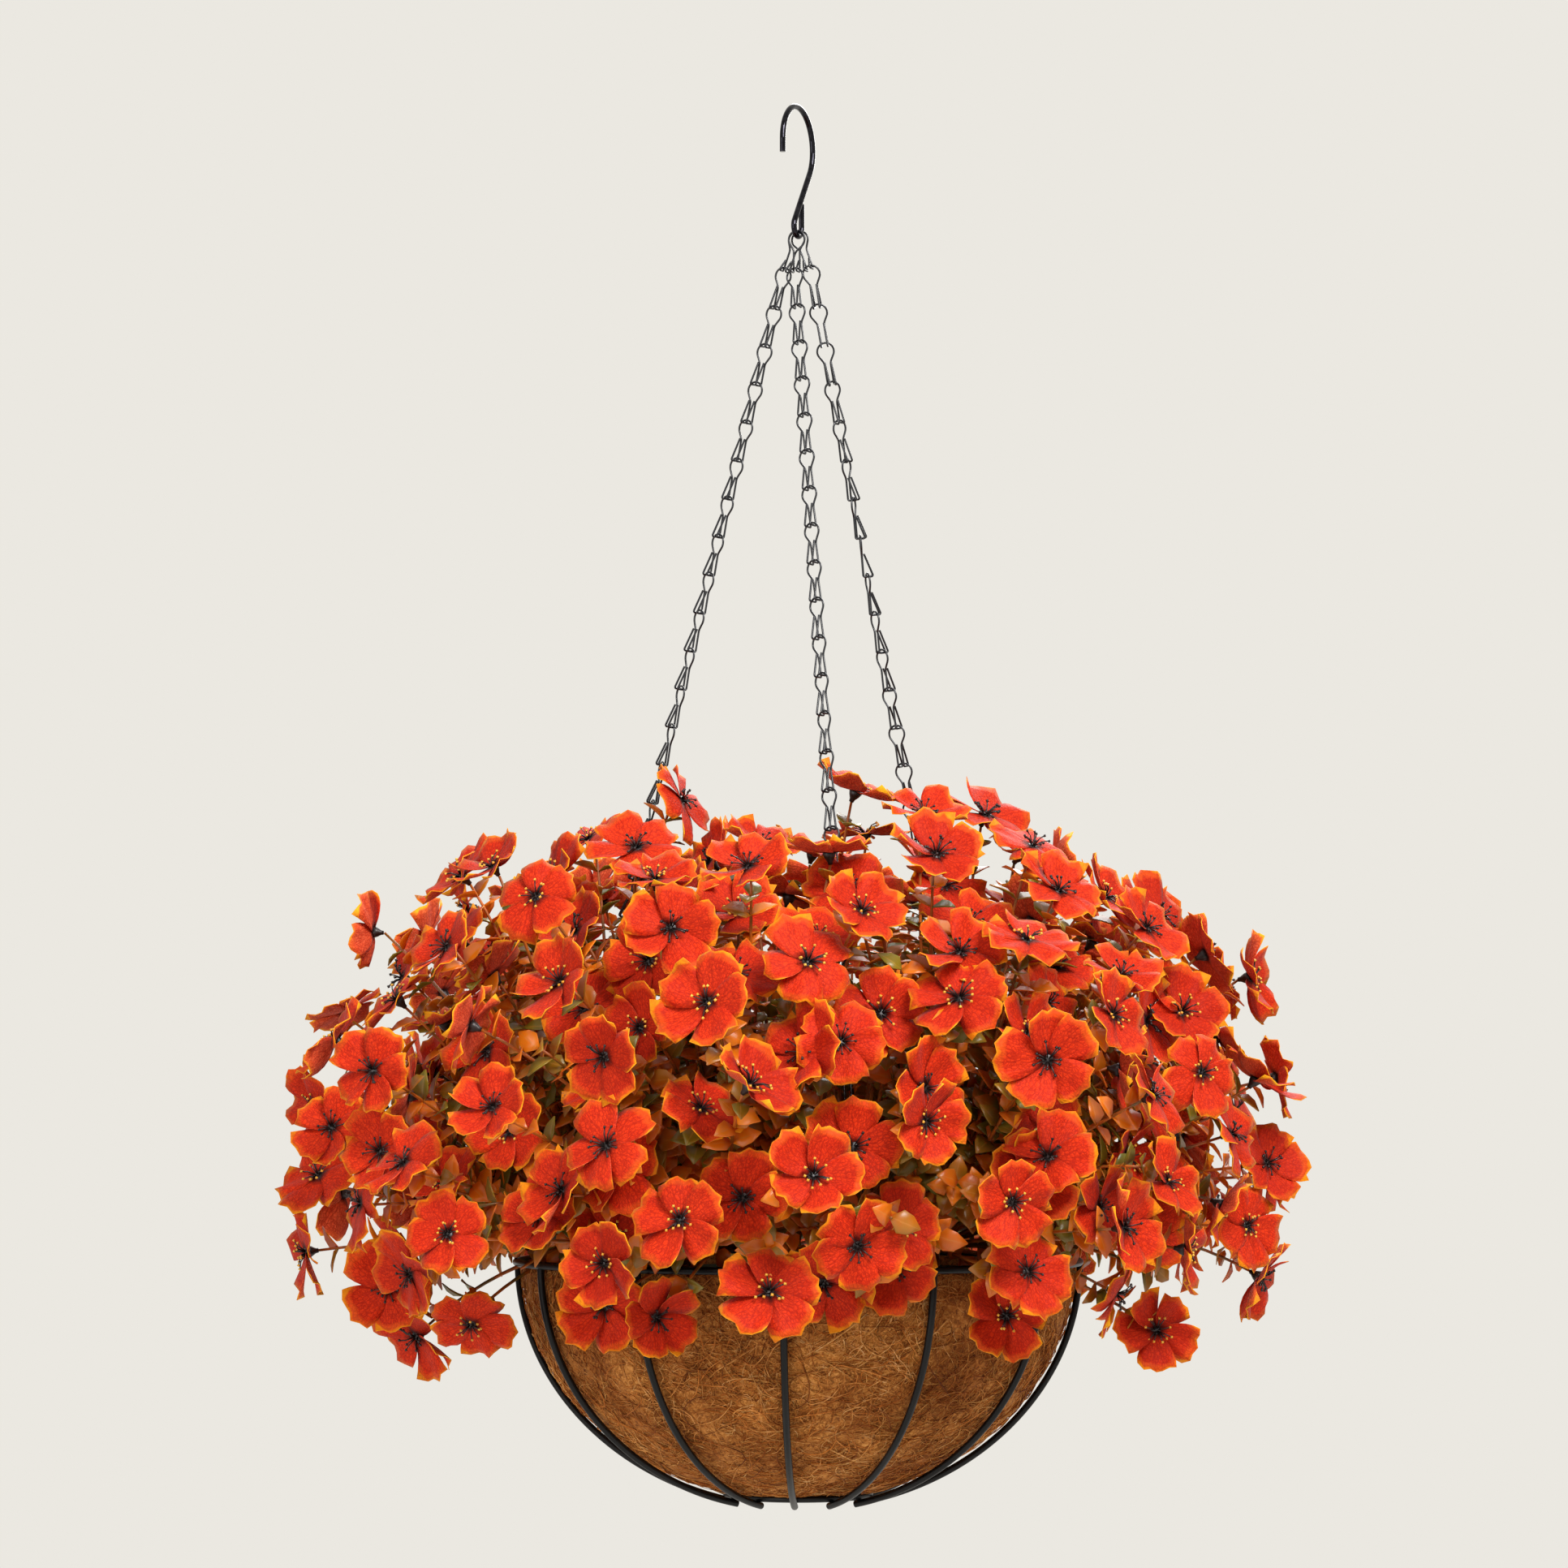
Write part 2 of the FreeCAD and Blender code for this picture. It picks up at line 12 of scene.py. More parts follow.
import bmesh
import bpy
import numpy as np
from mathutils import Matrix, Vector


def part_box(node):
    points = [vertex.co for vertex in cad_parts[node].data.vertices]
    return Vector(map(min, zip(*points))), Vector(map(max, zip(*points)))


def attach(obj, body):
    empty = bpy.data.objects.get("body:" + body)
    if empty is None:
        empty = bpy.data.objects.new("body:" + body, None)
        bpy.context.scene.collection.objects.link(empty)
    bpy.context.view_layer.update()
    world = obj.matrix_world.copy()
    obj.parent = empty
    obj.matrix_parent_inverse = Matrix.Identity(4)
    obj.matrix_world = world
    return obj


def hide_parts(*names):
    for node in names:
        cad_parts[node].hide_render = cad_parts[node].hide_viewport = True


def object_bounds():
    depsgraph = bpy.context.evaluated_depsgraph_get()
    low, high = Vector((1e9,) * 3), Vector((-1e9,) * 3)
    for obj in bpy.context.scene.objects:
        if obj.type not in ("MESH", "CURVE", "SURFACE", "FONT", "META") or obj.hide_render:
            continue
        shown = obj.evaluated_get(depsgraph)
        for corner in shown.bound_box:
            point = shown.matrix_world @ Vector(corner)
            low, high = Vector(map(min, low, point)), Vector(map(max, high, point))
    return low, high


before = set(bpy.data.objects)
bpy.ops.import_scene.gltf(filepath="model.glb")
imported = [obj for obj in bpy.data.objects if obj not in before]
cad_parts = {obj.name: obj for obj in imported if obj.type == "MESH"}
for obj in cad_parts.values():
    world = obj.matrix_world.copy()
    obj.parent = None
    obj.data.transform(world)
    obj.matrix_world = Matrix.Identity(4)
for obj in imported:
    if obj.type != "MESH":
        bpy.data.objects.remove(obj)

cad_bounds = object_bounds()
draw = np.random.default_rng(12)
MM = 0.001
print("nodes in the frame:", len(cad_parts))

# %% [markdown]
# ## Places read from the frame
#
# Nothing is placed by guess: the rim's height and radius, the bowl's depth and the reach of
# the foliage are all read from the boxes of the wire ring, the liner and the bushes.
# Angles go round the basket from the side that faces -Y, and grow towards +X.

# %% Levels and radii
def node_box(node):
    """The lowest and highest corners of a node, as arrays in metres."""
    low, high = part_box(node)
    return np.array(low), np.array(high)


rim_low, rim_high = node_box("rim_ring")
RIM_LEVEL = float(rim_low[2] + rim_high[2]) / 2
RIM_WIRE = float(rim_high[2] - rim_low[2])
RIM_RADIUS = float(rim_high[0] - rim_low[0] - RIM_WIRE) / 2
liner_low, liner_high = node_box("coir_liner")
LINER_RADIUS = float(liner_high[0] - liner_low[0]) / 2
LINER_DEPTH = RIM_LEVEL - float(liner_low[2])
LINER_TOP = float(liner_high[2])
OUTER_BUSHES = ["bush_%d" % number for number in range(1, 7)]
BUSH_NAMES = ["bush_centre"] + OUTER_BUSHES
bush_corners = [node_box(name) for name in BUSH_NAMES]
DOME_REACH = max(float(np.abs(corner[:, :2]).max()) for corner in map(np.array, bush_corners))
DOME_TOP = max(float(high[2]) for low, high in bush_corners) - RIM_LEVEL
DOME_HEM = min(float(low[2]) for low, high in bush_corners) - RIM_LEVEL
CROWN_RADIUS = float(bush_corners[0][1][0])


def node_angle(node):
    """The angle round the basket at which a node's middle stands, in radians."""
    low, high = node_box(node)
    middle = (low + high) / 2
    return math.atan2(middle[0], -middle[1])


CHAIN_ANGLES = np.array([node_angle("rim_hook_" + side) for side in ("left", "front", "right")])
TOP_LINK_LEVEL = float(node_box("top_link_front")[0][2])
print("rim radius %.1f mm, dome reach %.1f mm" % (RIM_RADIUS / MM, DOME_REACH / MM))

# %% [markdown]
# ## Small helpers
#
# A few helpers keep the rest short.  One turns a printed colour such as #E8512A into the
# linear numbers that a shader expects.  One adds a shader node with its settings and links.
# One puts arrays of points and faces into a mesh, with a UV map and named attributes.

# %% Colours
def linear(code):
    """Linear red, green, blue, alpha from an sRGB hex colour.

    Below 0.04045 a channel is divided by 12.92; above, it is ((c + 0.055) / 1.055) ** 2.4.
    """
    channels = np.array([int(code[start:start + 2], 16) for start in (1, 3, 5)]) / 255
    low = channels / 12.92
    high = ((channels + 0.055) / 1.055) ** 2.4
    return (*np.where(channels <= 0.04045, low, high), 1.0)


# %% Shader nodes
def add_node(tree, kind, inputs=None, stops=None, **settings):
    """Add one node to a material's tree, with its settings, and return it.

    inputs maps an input's name or number to what feeds it: another node's output, a value,
    or a hex colour.  stops are a ramp's (position, hex colour) pairs.
    """
    node = tree.nodes.new(kind)
    for name, value in settings.items():
        setattr(node, name, value)
    for name, feed in (inputs or {}).items():
        if isinstance(feed, bpy.types.NodeSocket):
            tree.links.new(feed, node.inputs[name])
        else:
            node.inputs[name].default_value = linear(feed) if isinstance(feed, str) else feed
    if stops:
        elements = node.color_ramp.elements
        while len(elements) < len(stops):
            elements.new(0.5)
        for element, (position, code) in zip(elements, stops):
            element.position = position
            element.color = linear(code)
    return node

# %% A material and its shader
def new_material(name, roughness, metallic=0.0, **surface):
    """A material with one Principled shader; returns it with its node tree and shader."""
    material = bpy.data.materials.new(name)
    material.use_nodes = True
    tree = material.node_tree
    shader = tree.nodes["Principled BSDF"]
    shader.inputs["Roughness"].default_value = roughness
    shader.inputs["Metallic"].default_value = metallic
    for socket, value in surface.items():
        shader.inputs[socket.replace("_", " ")].default_value = value
    return material, tree, shader


def feed_shader(tree, shader, **feeds):
    """Link node outputs to the shader's inputs; an underscore stands for a space."""
    for name, output in feeds.items():
        tree.links.new(output, shader.inputs[name.replace("_", " ")])


# %% Meshes from arrays
def make_piece(name, points, faces, materials, uv=None, attributes=None, face_material=None):
    """An object whose mesh is given as arrays: points (N, 3) and a list of face arrays.

    Every face array has one row per face, and all the faces in it have as many corners.
    """
    mesh = bpy.data.meshes.new(name)
    corners = np.concatenate([array.ravel() for array in faces]).astype(np.int32)
    counts = np.concatenate([np.full(len(array), array.shape[1]) for array in faces])
    starts = np.concatenate([[0], np.cumsum(counts)[:-1]])
    mesh.vertices.add(len(points))
    mesh.vertices.foreach_set("co", np.ascontiguousarray(points, np.float32).ravel())
    mesh.loops.add(len(corners))
    mesh.loops.foreach_set("vertex_index", corners)
    mesh.polygons.add(len(counts))
    mesh.polygons.foreach_set("loop_start", starts.astype(np.int32))
    mesh.update(calc_edges=True)
    mesh.polygons.foreach_set("use_smooth", np.ones(len(counts), bool))
    if uv is not None:
        layer = mesh.uv_layers.new(name="surface")
        layer.data.foreach_set("uv", uv[corners].astype(np.float32).ravel())
    for label, values in (attributes or {}).items():
        attribute = mesh.attributes.new(label, "FLOAT", "POINT")
        attribute.data.foreach_set("value", values.astype(np.float32))
    for material in materials:
        mesh.materials.append(material)
    if face_material is not None:
        mesh.polygons.foreach_set("material_index", face_material.astype(np.int32))
    mesh.validate()
    piece = bpy.data.objects.new(name, mesh)
    bpy.context.scene.collection.objects.link(piece)
    return piece

# %% Faces of a grid, and of many copies
def grid_faces(rows, columns, wrap=False):
    """Quads of a grid of rows x columns points; wrap joins the last column to the first."""
    spans = columns if wrap else columns - 1
    row, column = np.meshgrid(np.arange(rows - 1), np.arange(spans), indexing="ij")
    after = (column + 1) % columns
    return np.stack([row * columns + column, row * columns + after,
                     (row + 1) * columns + after, (row + 1) * columns + column],
                    axis=-1).reshape(-1, 4)


def repeated(faces, copies, points_each):
    """The faces of one shape, for many copies of it that lie one after another."""
    offset = np.arange(copies)[:, None, None] * points_each
    return (faces[None] + offset).reshape(-1, faces.shape[1])

# %% Directions and relief
def unit(vectors):
    """Vectors scaled to length one, along the last axis."""
    return vectors / np.maximum(np.linalg.norm(vectors, axis=-1, keepdims=True), 1e-12)


def ripple(points, wavelength, waves=12):
    """Smooth random relief between about -1 and 1.

    The sum of sines of p . k over random directions k whose length is a turn per wavelength.
    """
    directions = unit(draw.normal(size=(waves, 3)))
    lengths = wavelength * draw.uniform(0.6, 1.6, waves)
    phases = draw.uniform(0, 2 * np.pi, waves)
    angle = points @ (directions * (2 * np.pi / lengths)[:, None]).T + phases
    return np.sin(angle).sum(axis=-1) / math.sqrt(waves)


# %% [markdown]
# ## Black wire
#
# The bowl's wire is powder coated: a thick even plastic skin, black, with a faint orange-peel
# relief about 1.5 mm across and a soft sheen.  The chains are dipped in enamel, which is
# thinner and glossier.  The S-hook is plated steel, so it stays a metal, nearly black.
# The frame's wire already has the right shape, so it only changes its material.

# %% Powder coat of the bowl
def powder_coat():
    """Black powder coat: satin plastic over steel, with orange-peel relief and dust specks."""
    material, tree, shader = new_material(
        "black_powder_coat", 0.38, Specular_IOR_Level=0.22, Coat_Weight=0.05,
        Coat_Roughness=0.12)
    place = add_node(tree, "ShaderNodeTexCoord").outputs["Object"]
    peel = add_node(
        tree, "ShaderNodeTexNoise",
        {"Vector": place, "Scale": 1 / (1.5 * MM), "Detail": 2.0},
    )
    dust = add_node(
        tree, "ShaderNodeTexNoise",
        {"Vector": place, "Scale": 1 / (22 * MM), "Detail": 6.0},
    )
    colour = add_node(
        tree, "ShaderNodeValToRGB", {0: dust.outputs["Fac"]},
        stops=[(0.42, "#060607"), (0.72, "#121112")],
    ).outputs["Color"]
    feed_shader(tree, shader, Base_Color=colour)
    bump = add_node(
        tree, "ShaderNodeBump",
        {"Height": peel.outputs["Fac"], "Strength": 0.35, "Distance": 0.12 * MM},
    )
    feed_shader(tree, shader, Normal=bump.outputs["Normal"])
    return material

# %% Enamel of the chains
def dipped_enamel():
    """Blue-black stoving enamel on thin wire: glossy, a little thicker in the bends."""
    material, tree, shader = new_material(
        "black_dipped_enamel", 0.26, Specular_IOR_Level=0.5, Coat_Weight=0.15,
        Coat_Roughness=0.12)
    place = add_node(tree, "ShaderNodeTexCoord").outputs["Object"]
    flow = add_node(
        tree, "ShaderNodeTexNoise", {"Vector": place, "Scale": 1 / (4 * MM), "Detail": 3.0},
    )
    colour = add_node(
        tree, "ShaderNodeValToRGB", {0: flow.outputs["Fac"]},
        stops=[(0.35, "#08090D"), (0.7, "#14161E")],
    ).outputs["Color"]
    feed_shader(tree, shader, Base_Color=colour)
    bump = add_node(
        tree, "ShaderNodeBump",
        {"Height": flow.outputs["Fac"], "Strength": 0.3, "Distance": 0.1 * MM},
    )
    feed_shader(tree, shader, Normal=bump.outputs["Normal"])
    return material

# %% Plating of the hook
def plated_steel():
    """Black-plated steel wire: a dark metal with fine drawing lines along the wire."""
    material, tree, shader = new_material("black_plated_steel", 0.3, metallic=1.0)
    place = add_node(tree, "ShaderNodeTexCoord").outputs["Object"]
    wear = add_node(
        tree, "ShaderNodeTexNoise",
        {"Vector": place, "Scale": 1 / (3 * MM), "Detail": 5.0, "Roughness": 0.7},
    )
    colour = add_node(
        tree, "ShaderNodeValToRGB", {0: wear.outputs["Fac"]},
        stops=[(0.3, "#1B1B1F"), (0.62, "#302F34"), (0.8, "#545257")],
    ).outputs["Color"]
    rough = add_node(
        tree, "ShaderNodeValToRGB", {0: wear.outputs["Fac"]},
        stops=[(0.3, "#3A3A3A"), (0.8, "#6B6B6B")],
    ).outputs["Color"]
    feed_shader(tree, shader, Base_Color=colour)
    feed_shader(tree, shader, Roughness=rough)
    bump = add_node(
        tree, "ShaderNodeBump",
        {"Height": wear.outputs["Fac"], "Strength": 0.2, "Distance": 0.08 * MM},
    )
    feed_shader(tree, shader, Normal=bump.outputs["Normal"])
    return material

# %% Coat the wire
def coat(material, prefixes):
    """Give a material to the frame's nodes whose names begin with one of the prefixes."""
    for name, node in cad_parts.items():
        if name.startswith(prefixes):
            node.data.materials.clear()
            node.data.materials.append(material)


coat(powder_coat(), ("rim_ring", "rib_", "bottom_ring"))
coat(dipped_enamel(), ("top_link", "chain_", "rim_hook"))
coat(plated_steel(), ("s_hook",))
print("metal finishes:", [material.name for material in bpy.data.materials])

# %% [markdown]
# ## The coir liner
#
# Coir is coconut fibre, felted into a mat with latex and pressed into a bowl.  From near, the
# eye sees single curly fibres, pale where they lie on top and dark brown between.
# A bump map alone would look like carpet, so the mat is made twice: a lumpy bowl, turned from
# an elliptical profile, and thousands of thin fibres that wander over it.

# %% Coir finishes
def coir(name, dark, middle, pale, grain):
    """Coconut fibre: dull, colours in streaks, from a noise with a given grain in metres."""
    material, tree, shader = new_material(name, 0.82, Specular_IOR_Level=0.25)
    place = add_node(tree, "ShaderNodeTexCoord").outputs["Object"]
    streak = add_node(
        tree, "ShaderNodeTexNoise",
        {"Vector": place, "Scale": 1 / grain, "Detail": 6.0, "Roughness": 0.65, "Distortion": 1.2},
    )
    patch = add_node(
        tree, "ShaderNodeTexNoise",
        {"Vector": place, "Scale": 1 / (45 * MM), "Detail": 3.0},
    )
    colour = add_node(
        tree, "ShaderNodeValToRGB", {0: streak.outputs["Fac"]},
        stops=[(0.34, dark), (0.5, middle), (0.66, pale)],
    ).outputs["Color"]
    shade = add_node(
        tree, "ShaderNodeValToRGB", {0: patch.outputs["Fac"]},
        stops=[(0.35, "#D0BCA2"), (0.65, "#FFFFFF")],
    ).outputs["Color"]
    colour = add_node(
        tree, "ShaderNodeMix", {0: 1.0, 6: colour, 7: shade}, data_type="RGBA",
        blend_type="MULTIPLY",
    ).outputs[2]
    feed_shader(tree, shader, Base_Color=colour)
    bump = add_node(
        tree, "ShaderNodeBump",
        {"Height": streak.outputs["Fac"], "Strength": 0.8, "Distance": 0.8 * MM},
    )
    feed_shader(tree, shader, Normal=bump.outputs["Normal"])
    return material, tree, shader, colour

# %% Finish of the loose fibres
def fibre_finish():
    """Loose fibres: each has its own shade, from the attribute called shade."""
    material, tree, shader, colour = coir(
        "coir_fibre", "#BE8240", "#E8AC60", "#FFD496", 6 * MM)
    own = add_node(tree, "ShaderNodeAttribute", attribute_name="shade").outputs["Fac"]
    tone = add_node(
        tree, "ShaderNodeValToRGB", {0: own},
        stops=[(0.0, "#6A3C14"), (0.45, "#E6BA84"), (1.0, "#FFFFFF")],
    ).outputs["Color"]
    colour = add_node(
        tree, "ShaderNodeMix", {0: 1.0, 6: colour, 7: tone}, data_type="RGBA",
        blend_type="MULTIPLY",
    ).outputs[2]
    feed_shader(tree, shader, Base_Color=colour)
    return material


coir_mat = coir("coir_felt", "#6E3A10", "#B8742E", "#E2A258", 2.4 * MM)[0]
coir_fibre = fibre_finish()
print("coir finishes:", coir_mat.name, coir_fibre.name)

# %% The liner's bowl
LINER_WALL = 8 * MM


def bowl_point(around, down, inset=0.0):
    """A point of the bowl, as arrays: an ellipse turned about the axis.

    r = (radius - inset) cos(down) and z = rim - (depth - inset) sin(down), where down runs
    from 0 at the rim to a quarter turn at the bottom.
    """
    around, down, inset = np.broadcast_arrays(around, down, inset)
    radius = (LINER_RADIUS - inset) * np.cos(down)
    return np.stack([radius * np.sin(around), -radius * np.cos(around),
                     RIM_LEVEL - (LINER_DEPTH - inset) * np.sin(down)], axis=-1)


def liner_piece():
    """The felted bowl: outer wall, rounded lip and inner wall, as one closed turned surface."""
    turns, rows = 220, 60
    start = math.asin((RIM_LEVEL - LINER_TOP + LINER_WALL / 2) / LINER_DEPTH)
    down = np.linspace(np.pi / 2, start, rows)
    lip = np.linspace(0, np.pi, 7)[1:-1]
    around = np.linspace(0, 2 * np.pi, turns, endpoint=False)
    outer = bowl_point(around[None], down[:, None])
    inner = bowl_point(around[None], down[::-1, None], LINER_WALL)
    middle = (outer[-1] + inner[0]) / 2
    across = (outer[-1] - inner[0]) / 2
    up = np.array([0, 0, LINER_WALL / 2])
    rounded = (middle[None] + across[None] * np.cos(lip)[:, None, None]
               + up * np.sin(lip)[:, None, None])
    points = np.concatenate([outer, rounded, inner]).reshape(-1, 3)
    outward = unit(points - np.array([0, 0, RIM_LEVEL]))
    lumps = ripple(points, 26 * MM) * 0.7 * MM + ripple(points, 7 * MM, 24) * 0.45 * MM
    points = points + outward * lumps[:, None]
    faces = grid_faces(2 * rows + len(lip), turns, wrap=True)
    points[:turns] = points[:turns].mean(axis=0)
    points[-turns:] = points[-turns:].mean(axis=0)
    piece = make_piece("coir_bowl", points, [faces], [coir_mat])
    weld_points(piece, 0.01 * MM)
    return piece

# %% Close the poles of the bowl
def weld_points(piece, distance):
    """Merge points that lie together, so that the poles of a turned shape are closed."""
    mesh = bmesh.new()
    mesh.from_mesh(piece.data)
    bmesh.ops.remove_doubles(mesh, verts=mesh.verts, dist=distance)
    bmesh.ops.recalc_face_normals(mesh, faces=mesh.faces)
    mesh.to_mesh(piece.data)
    mesh.free()


coir_bowl = liner_piece()
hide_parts("coir_liner")
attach(coir_bowl, "basket")
print("coir bowl faces:", len(coir_bowl.data.polygons))

# %% [markdown]
# ### Fibres
#
# A fibre is a thin tube that wanders over the bowl: its heading turns a little at each step,
# always the same way, so it curls.  All the fibres are walked at once, one step of the whole
# array at a time, and the tube is a triangle in section, because it is under half a
# millimetre thick.

# %% Tubes along many paths
def tubes(paths, radii, sides):
    """Closed tubes along paths (N, P, 3) with radii (N, P); returns points and face arrays.

    Each ring is centre + r (cos a side + sin a lift), with side and lift square to the path.
    """
    count, stations = paths.shape[:2]
    ahead = unit(np.gradient(paths, axis=1))
    helper = np.where(np.abs(ahead[:, :1, 2:]) > 0.9, np.array([1.0, 0, 0]),
                      np.array([0, 0, 1.0]))
    side = unit(np.cross(ahead, helper))
    lift = np.cross(side, ahead)
    angle = np.arange(sides) * 2 * np.pi / sides
    ring = (np.cos(angle)[:, None] * side[:, :, None] + np.sin(angle)[:, None] * lift[:, :, None])
    points = paths[:, :, None] + ring * radii[:, :, None, None]
    each = stations * sides
    walls = grid_faces(stations, sides, wrap=True)[:, ::-1]
    start = np.arange(sides)[None]
    end = (stations - 1) * sides + np.arange(sides)[None, ::-1]
    faces = [repeated(array, count, each) for array in (walls, start, end)]
    return points.reshape(-1, 3), faces


# %% Walk the fibres over the bowl
FIBRE_STEPS = 7


def fibre_paths(count, step, lift_height):
    """Curly paths on the bowl: angle and depth advance by the heading, which keeps turning."""
    around = draw.uniform(0, 2 * np.pi, count)
    down = np.arcsin(draw.uniform(0.01, 0.985, count))
    heading = draw.uniform(0, 2 * np.pi, count)
    curl = draw.normal(0, 0.5, count)
    height = draw.uniform(-0.3, 1.0, count) * lift_height
    stations = []
    for number in range(FIBRE_STEPS):
        arch = np.sin(np.pi * number / (FIBRE_STEPS - 1))
        stations.append(bowl_point(around, down, -(height * arch + 0.25 * MM)))
        heading = heading + curl + draw.normal(0, 0.18, count)
        radius = np.maximum(LINER_RADIUS * np.cos(down), 12 * MM)
        around = around + step * np.cos(heading) / radius
        down = np.clip(down + step * np.sin(heading) / LINER_RADIUS, 0.01, 1.53)
    return np.stack(stations, axis=1)

# %% One share of the fibres
def fibre_piece(name, count, step, thickness, lift_height):
    """One share of the fibres as a single piece, each fibre with its own shade."""
    paths = fibre_paths(count, step, lift_height)
    taper = np.sin(np.linspace(0.12, 0.88, FIBRE_STEPS) * np.pi) ** 0.5
    radii = draw.uniform(0.6, 1.3, (count, 1)) * thickness / 2 * taper
    points, faces = tubes(paths, radii, 3)
    shade = np.repeat(draw.beta(2.0, 1.6, count), FIBRE_STEPS * 3)
    piece = make_piece(name, points, faces, [coir_fibre], attributes={"shade": shade})
    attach(piece, "basket")
    return piece

# %% Lay the fibres
FIBRE_LAYERS = {
    "coir_fibres_fine_1": (2600, 3.6 * MM, 0.42 * MM, 1.2 * MM),
    "coir_fibres_fine_2": (2600, 3.0 * MM, 0.38 * MM, 1.6 * MM),
    "coir_fibres_fine_3": (2600, 4.2 * MM, 0.46 * MM, 1.8 * MM),
    "coir_fibres_coarse": (1700, 6.2 * MM, 0.62 * MM, 2.2 * MM),
}
for layer_name, layer in FIBRE_LAYERS.items():
    fibres = fibre_piece(layer_name, *layer)
    print(layer_name, "faces:", len(fibres.data.polygons))

# %% [markdown]
# ## Finishes of the flowers
#
# Artificial petals are polyester cloth, printed and then pressed in a hot mould.  The print is
# coral red with fine darker veins that fan out from the throat, and the cut edge was left
# yellow.  The cloth shines a little, as satin does.  The backs of the petals take a deeper red
# copy of the cloth: painted shade, for the sides that face away from the light.
# The petals' UV map runs across the petal in u and from throat to edge in v, so the veins
# follow each petal.

# %% Petal cloth
def petal_cloth(name, deep, middle, light, edge):
    """Printed polyester: veins fan along v, the rim is dyed, the throat is dark."""
    material, tree, shader = new_material(
        name, 0.6, Specular_IOR_Level=0.12, Sheen_Weight=0.04, Sheen_Roughness=0.5)
    uv = add_node(tree, "ShaderNodeUVMap", uv_map="surface").outputs["UV"]
    axes = add_node(tree, "ShaderNodeSeparateXYZ", {0: uv})
    place = add_node(tree, "ShaderNodeTexCoord").outputs["Object"]
    own = add_node(tree, "ShaderNodeAttribute", attribute_name="tint").outputs["Fac"]
    # Veins: a noise stretched along the petal, cut to thin dark lines, over a fine net.
    stretch = add_node(tree, "ShaderNodeMapping", {"Vector": uv, "Scale": (17.0, 3.2, 1.0)})
    veins = add_node(
        tree, "ShaderNodeTexNoise",
        {"Vector": stretch.outputs[0], "Scale": 1.0, "Detail": 3.0, "Distortion": 1.6},
    )
    cells = add_node(
        tree, "ShaderNodeTexVoronoi", {"Vector": place, "Scale": 1 / (2.3 * MM)},
        feature="DISTANCE_TO_EDGE",
    )
    blotch = add_node(
        tree, "ShaderNodeTexNoise", {"Vector": place, "Scale": 1 / (9 * MM), "Detail": 4.0},
    )
    ground = add_node(
        tree, "ShaderNodeMix", {0: blotch.outputs["Fac"], 6: middle, 7: light},
        data_type="RGBA",
    ).outputs[2]
    # Painted shade: the tint attribute pulls each flower, by a random amount, towards the deep red
    # that flowers in shadow show.
    painted_shade_red = add_node(
        tree, "ShaderNodeMix", {0: 0.45, 6: ground, 7: deep}, data_type="RGBA",
    ).outputs[2]
    ground = add_node(
        tree, "ShaderNodeMix", {0: own, 6: ground, 7: painted_shade_red}, data_type="RGBA",
    ).outputs[2]
    lines = add_node(
        tree, "ShaderNodeValToRGB", {0: veins.outputs["Fac"]},
        stops=[(0.43, "#FFFFFF"), (0.48, "#000000"), (0.52, "#000000"), (0.57, "#FFFFFF")],
    ).outputs["Color"]
    net = add_node(
        tree, "ShaderNodeValToRGB", {0: cells.outputs["Distance"]},
        stops=[(0.03, "#404040"), (0.13, "#FFFFFF")],
    ).outputs["Color"]
    web = add_node(
        tree, "ShaderNodeMix", {0: 0.8, 6: lines, 7: net}, data_type="RGBA",
        blend_type="MULTIPLY",
    ).outputs[2]
    inked = add_node(
        tree, "ShaderNodeMix", {0: 0.66, 6: ground, 7: deep}, data_type="RGBA",
    ).outputs[2]
    colour = add_node(
        tree, "ShaderNodeMix", {0: web, 6: inked, 7: ground}, data_type="RGBA",
    ).outputs[2]
    # The dye creeps in from the petal's outline, a little unevenly: orange, then yellow.
    rim = add_node(tree, "ShaderNodeAttribute", attribute_name="edge").outputs["Fac"]
    uneven = add_node(
        tree, "ShaderNodeMath", {0: blotch.outputs["Fac"], 1: 0.22, 2: rim},
        operation="MULTIPLY_ADD",
    )
    creep = add_node(
        tree, "ShaderNodeValToRGB", {0: uneven.outputs[0]},
        stops=[(0.92, "#000000"), (1.06, "#909090")],
    ).outputs["Color"]
    colour = add_node(
        tree, "ShaderNodeMix", {0: creep, 6: colour, 7: "#F4701C"}, data_type="RGBA",
    ).outputs[2]
    border = add_node(tree, "ShaderNodeMapRange", {0: uneven.outputs[0], 1: 1.055, 2: 1.12})
    colour = add_node(
        tree, "ShaderNodeMix", {0: border.outputs[0], 6: colour, 7: edge}, data_type="RGBA",
    ).outputs[2]
    throat = add_node(
        tree, "ShaderNodeValToRGB", {0: axes.outputs["Y"]},
        stops=[(0.08, "#FFFFFF"), (0.26, "#000000")],
    ).outputs["Color"]
    colour = add_node(
        tree, "ShaderNodeMix", {0: throat, 6: colour, 7: "#3C0A06"}, data_type="RGBA",
    ).outputs[2]
    feed_shader(tree, shader, Base_Color=colour)
    crease = add_node(
        tree, "ShaderNodeMix",
        {0: 0.5, 6: veins.outputs["Color"], 7: cells.outputs["Distance"]}, data_type="RGBA",
    ).outputs[2]
    bump = add_node(
        tree, "ShaderNodeBump", {"Height": crease, "Strength": 0.9, "Distance": 0.8 * MM},
    )
    feed_shader(tree, shader, Normal=bump.outputs["Normal"])
    return material


petal_front = petal_cloth("printed_petal_cloth", "#A41200", "#F85424", "#FF8256", "#FFB01C")
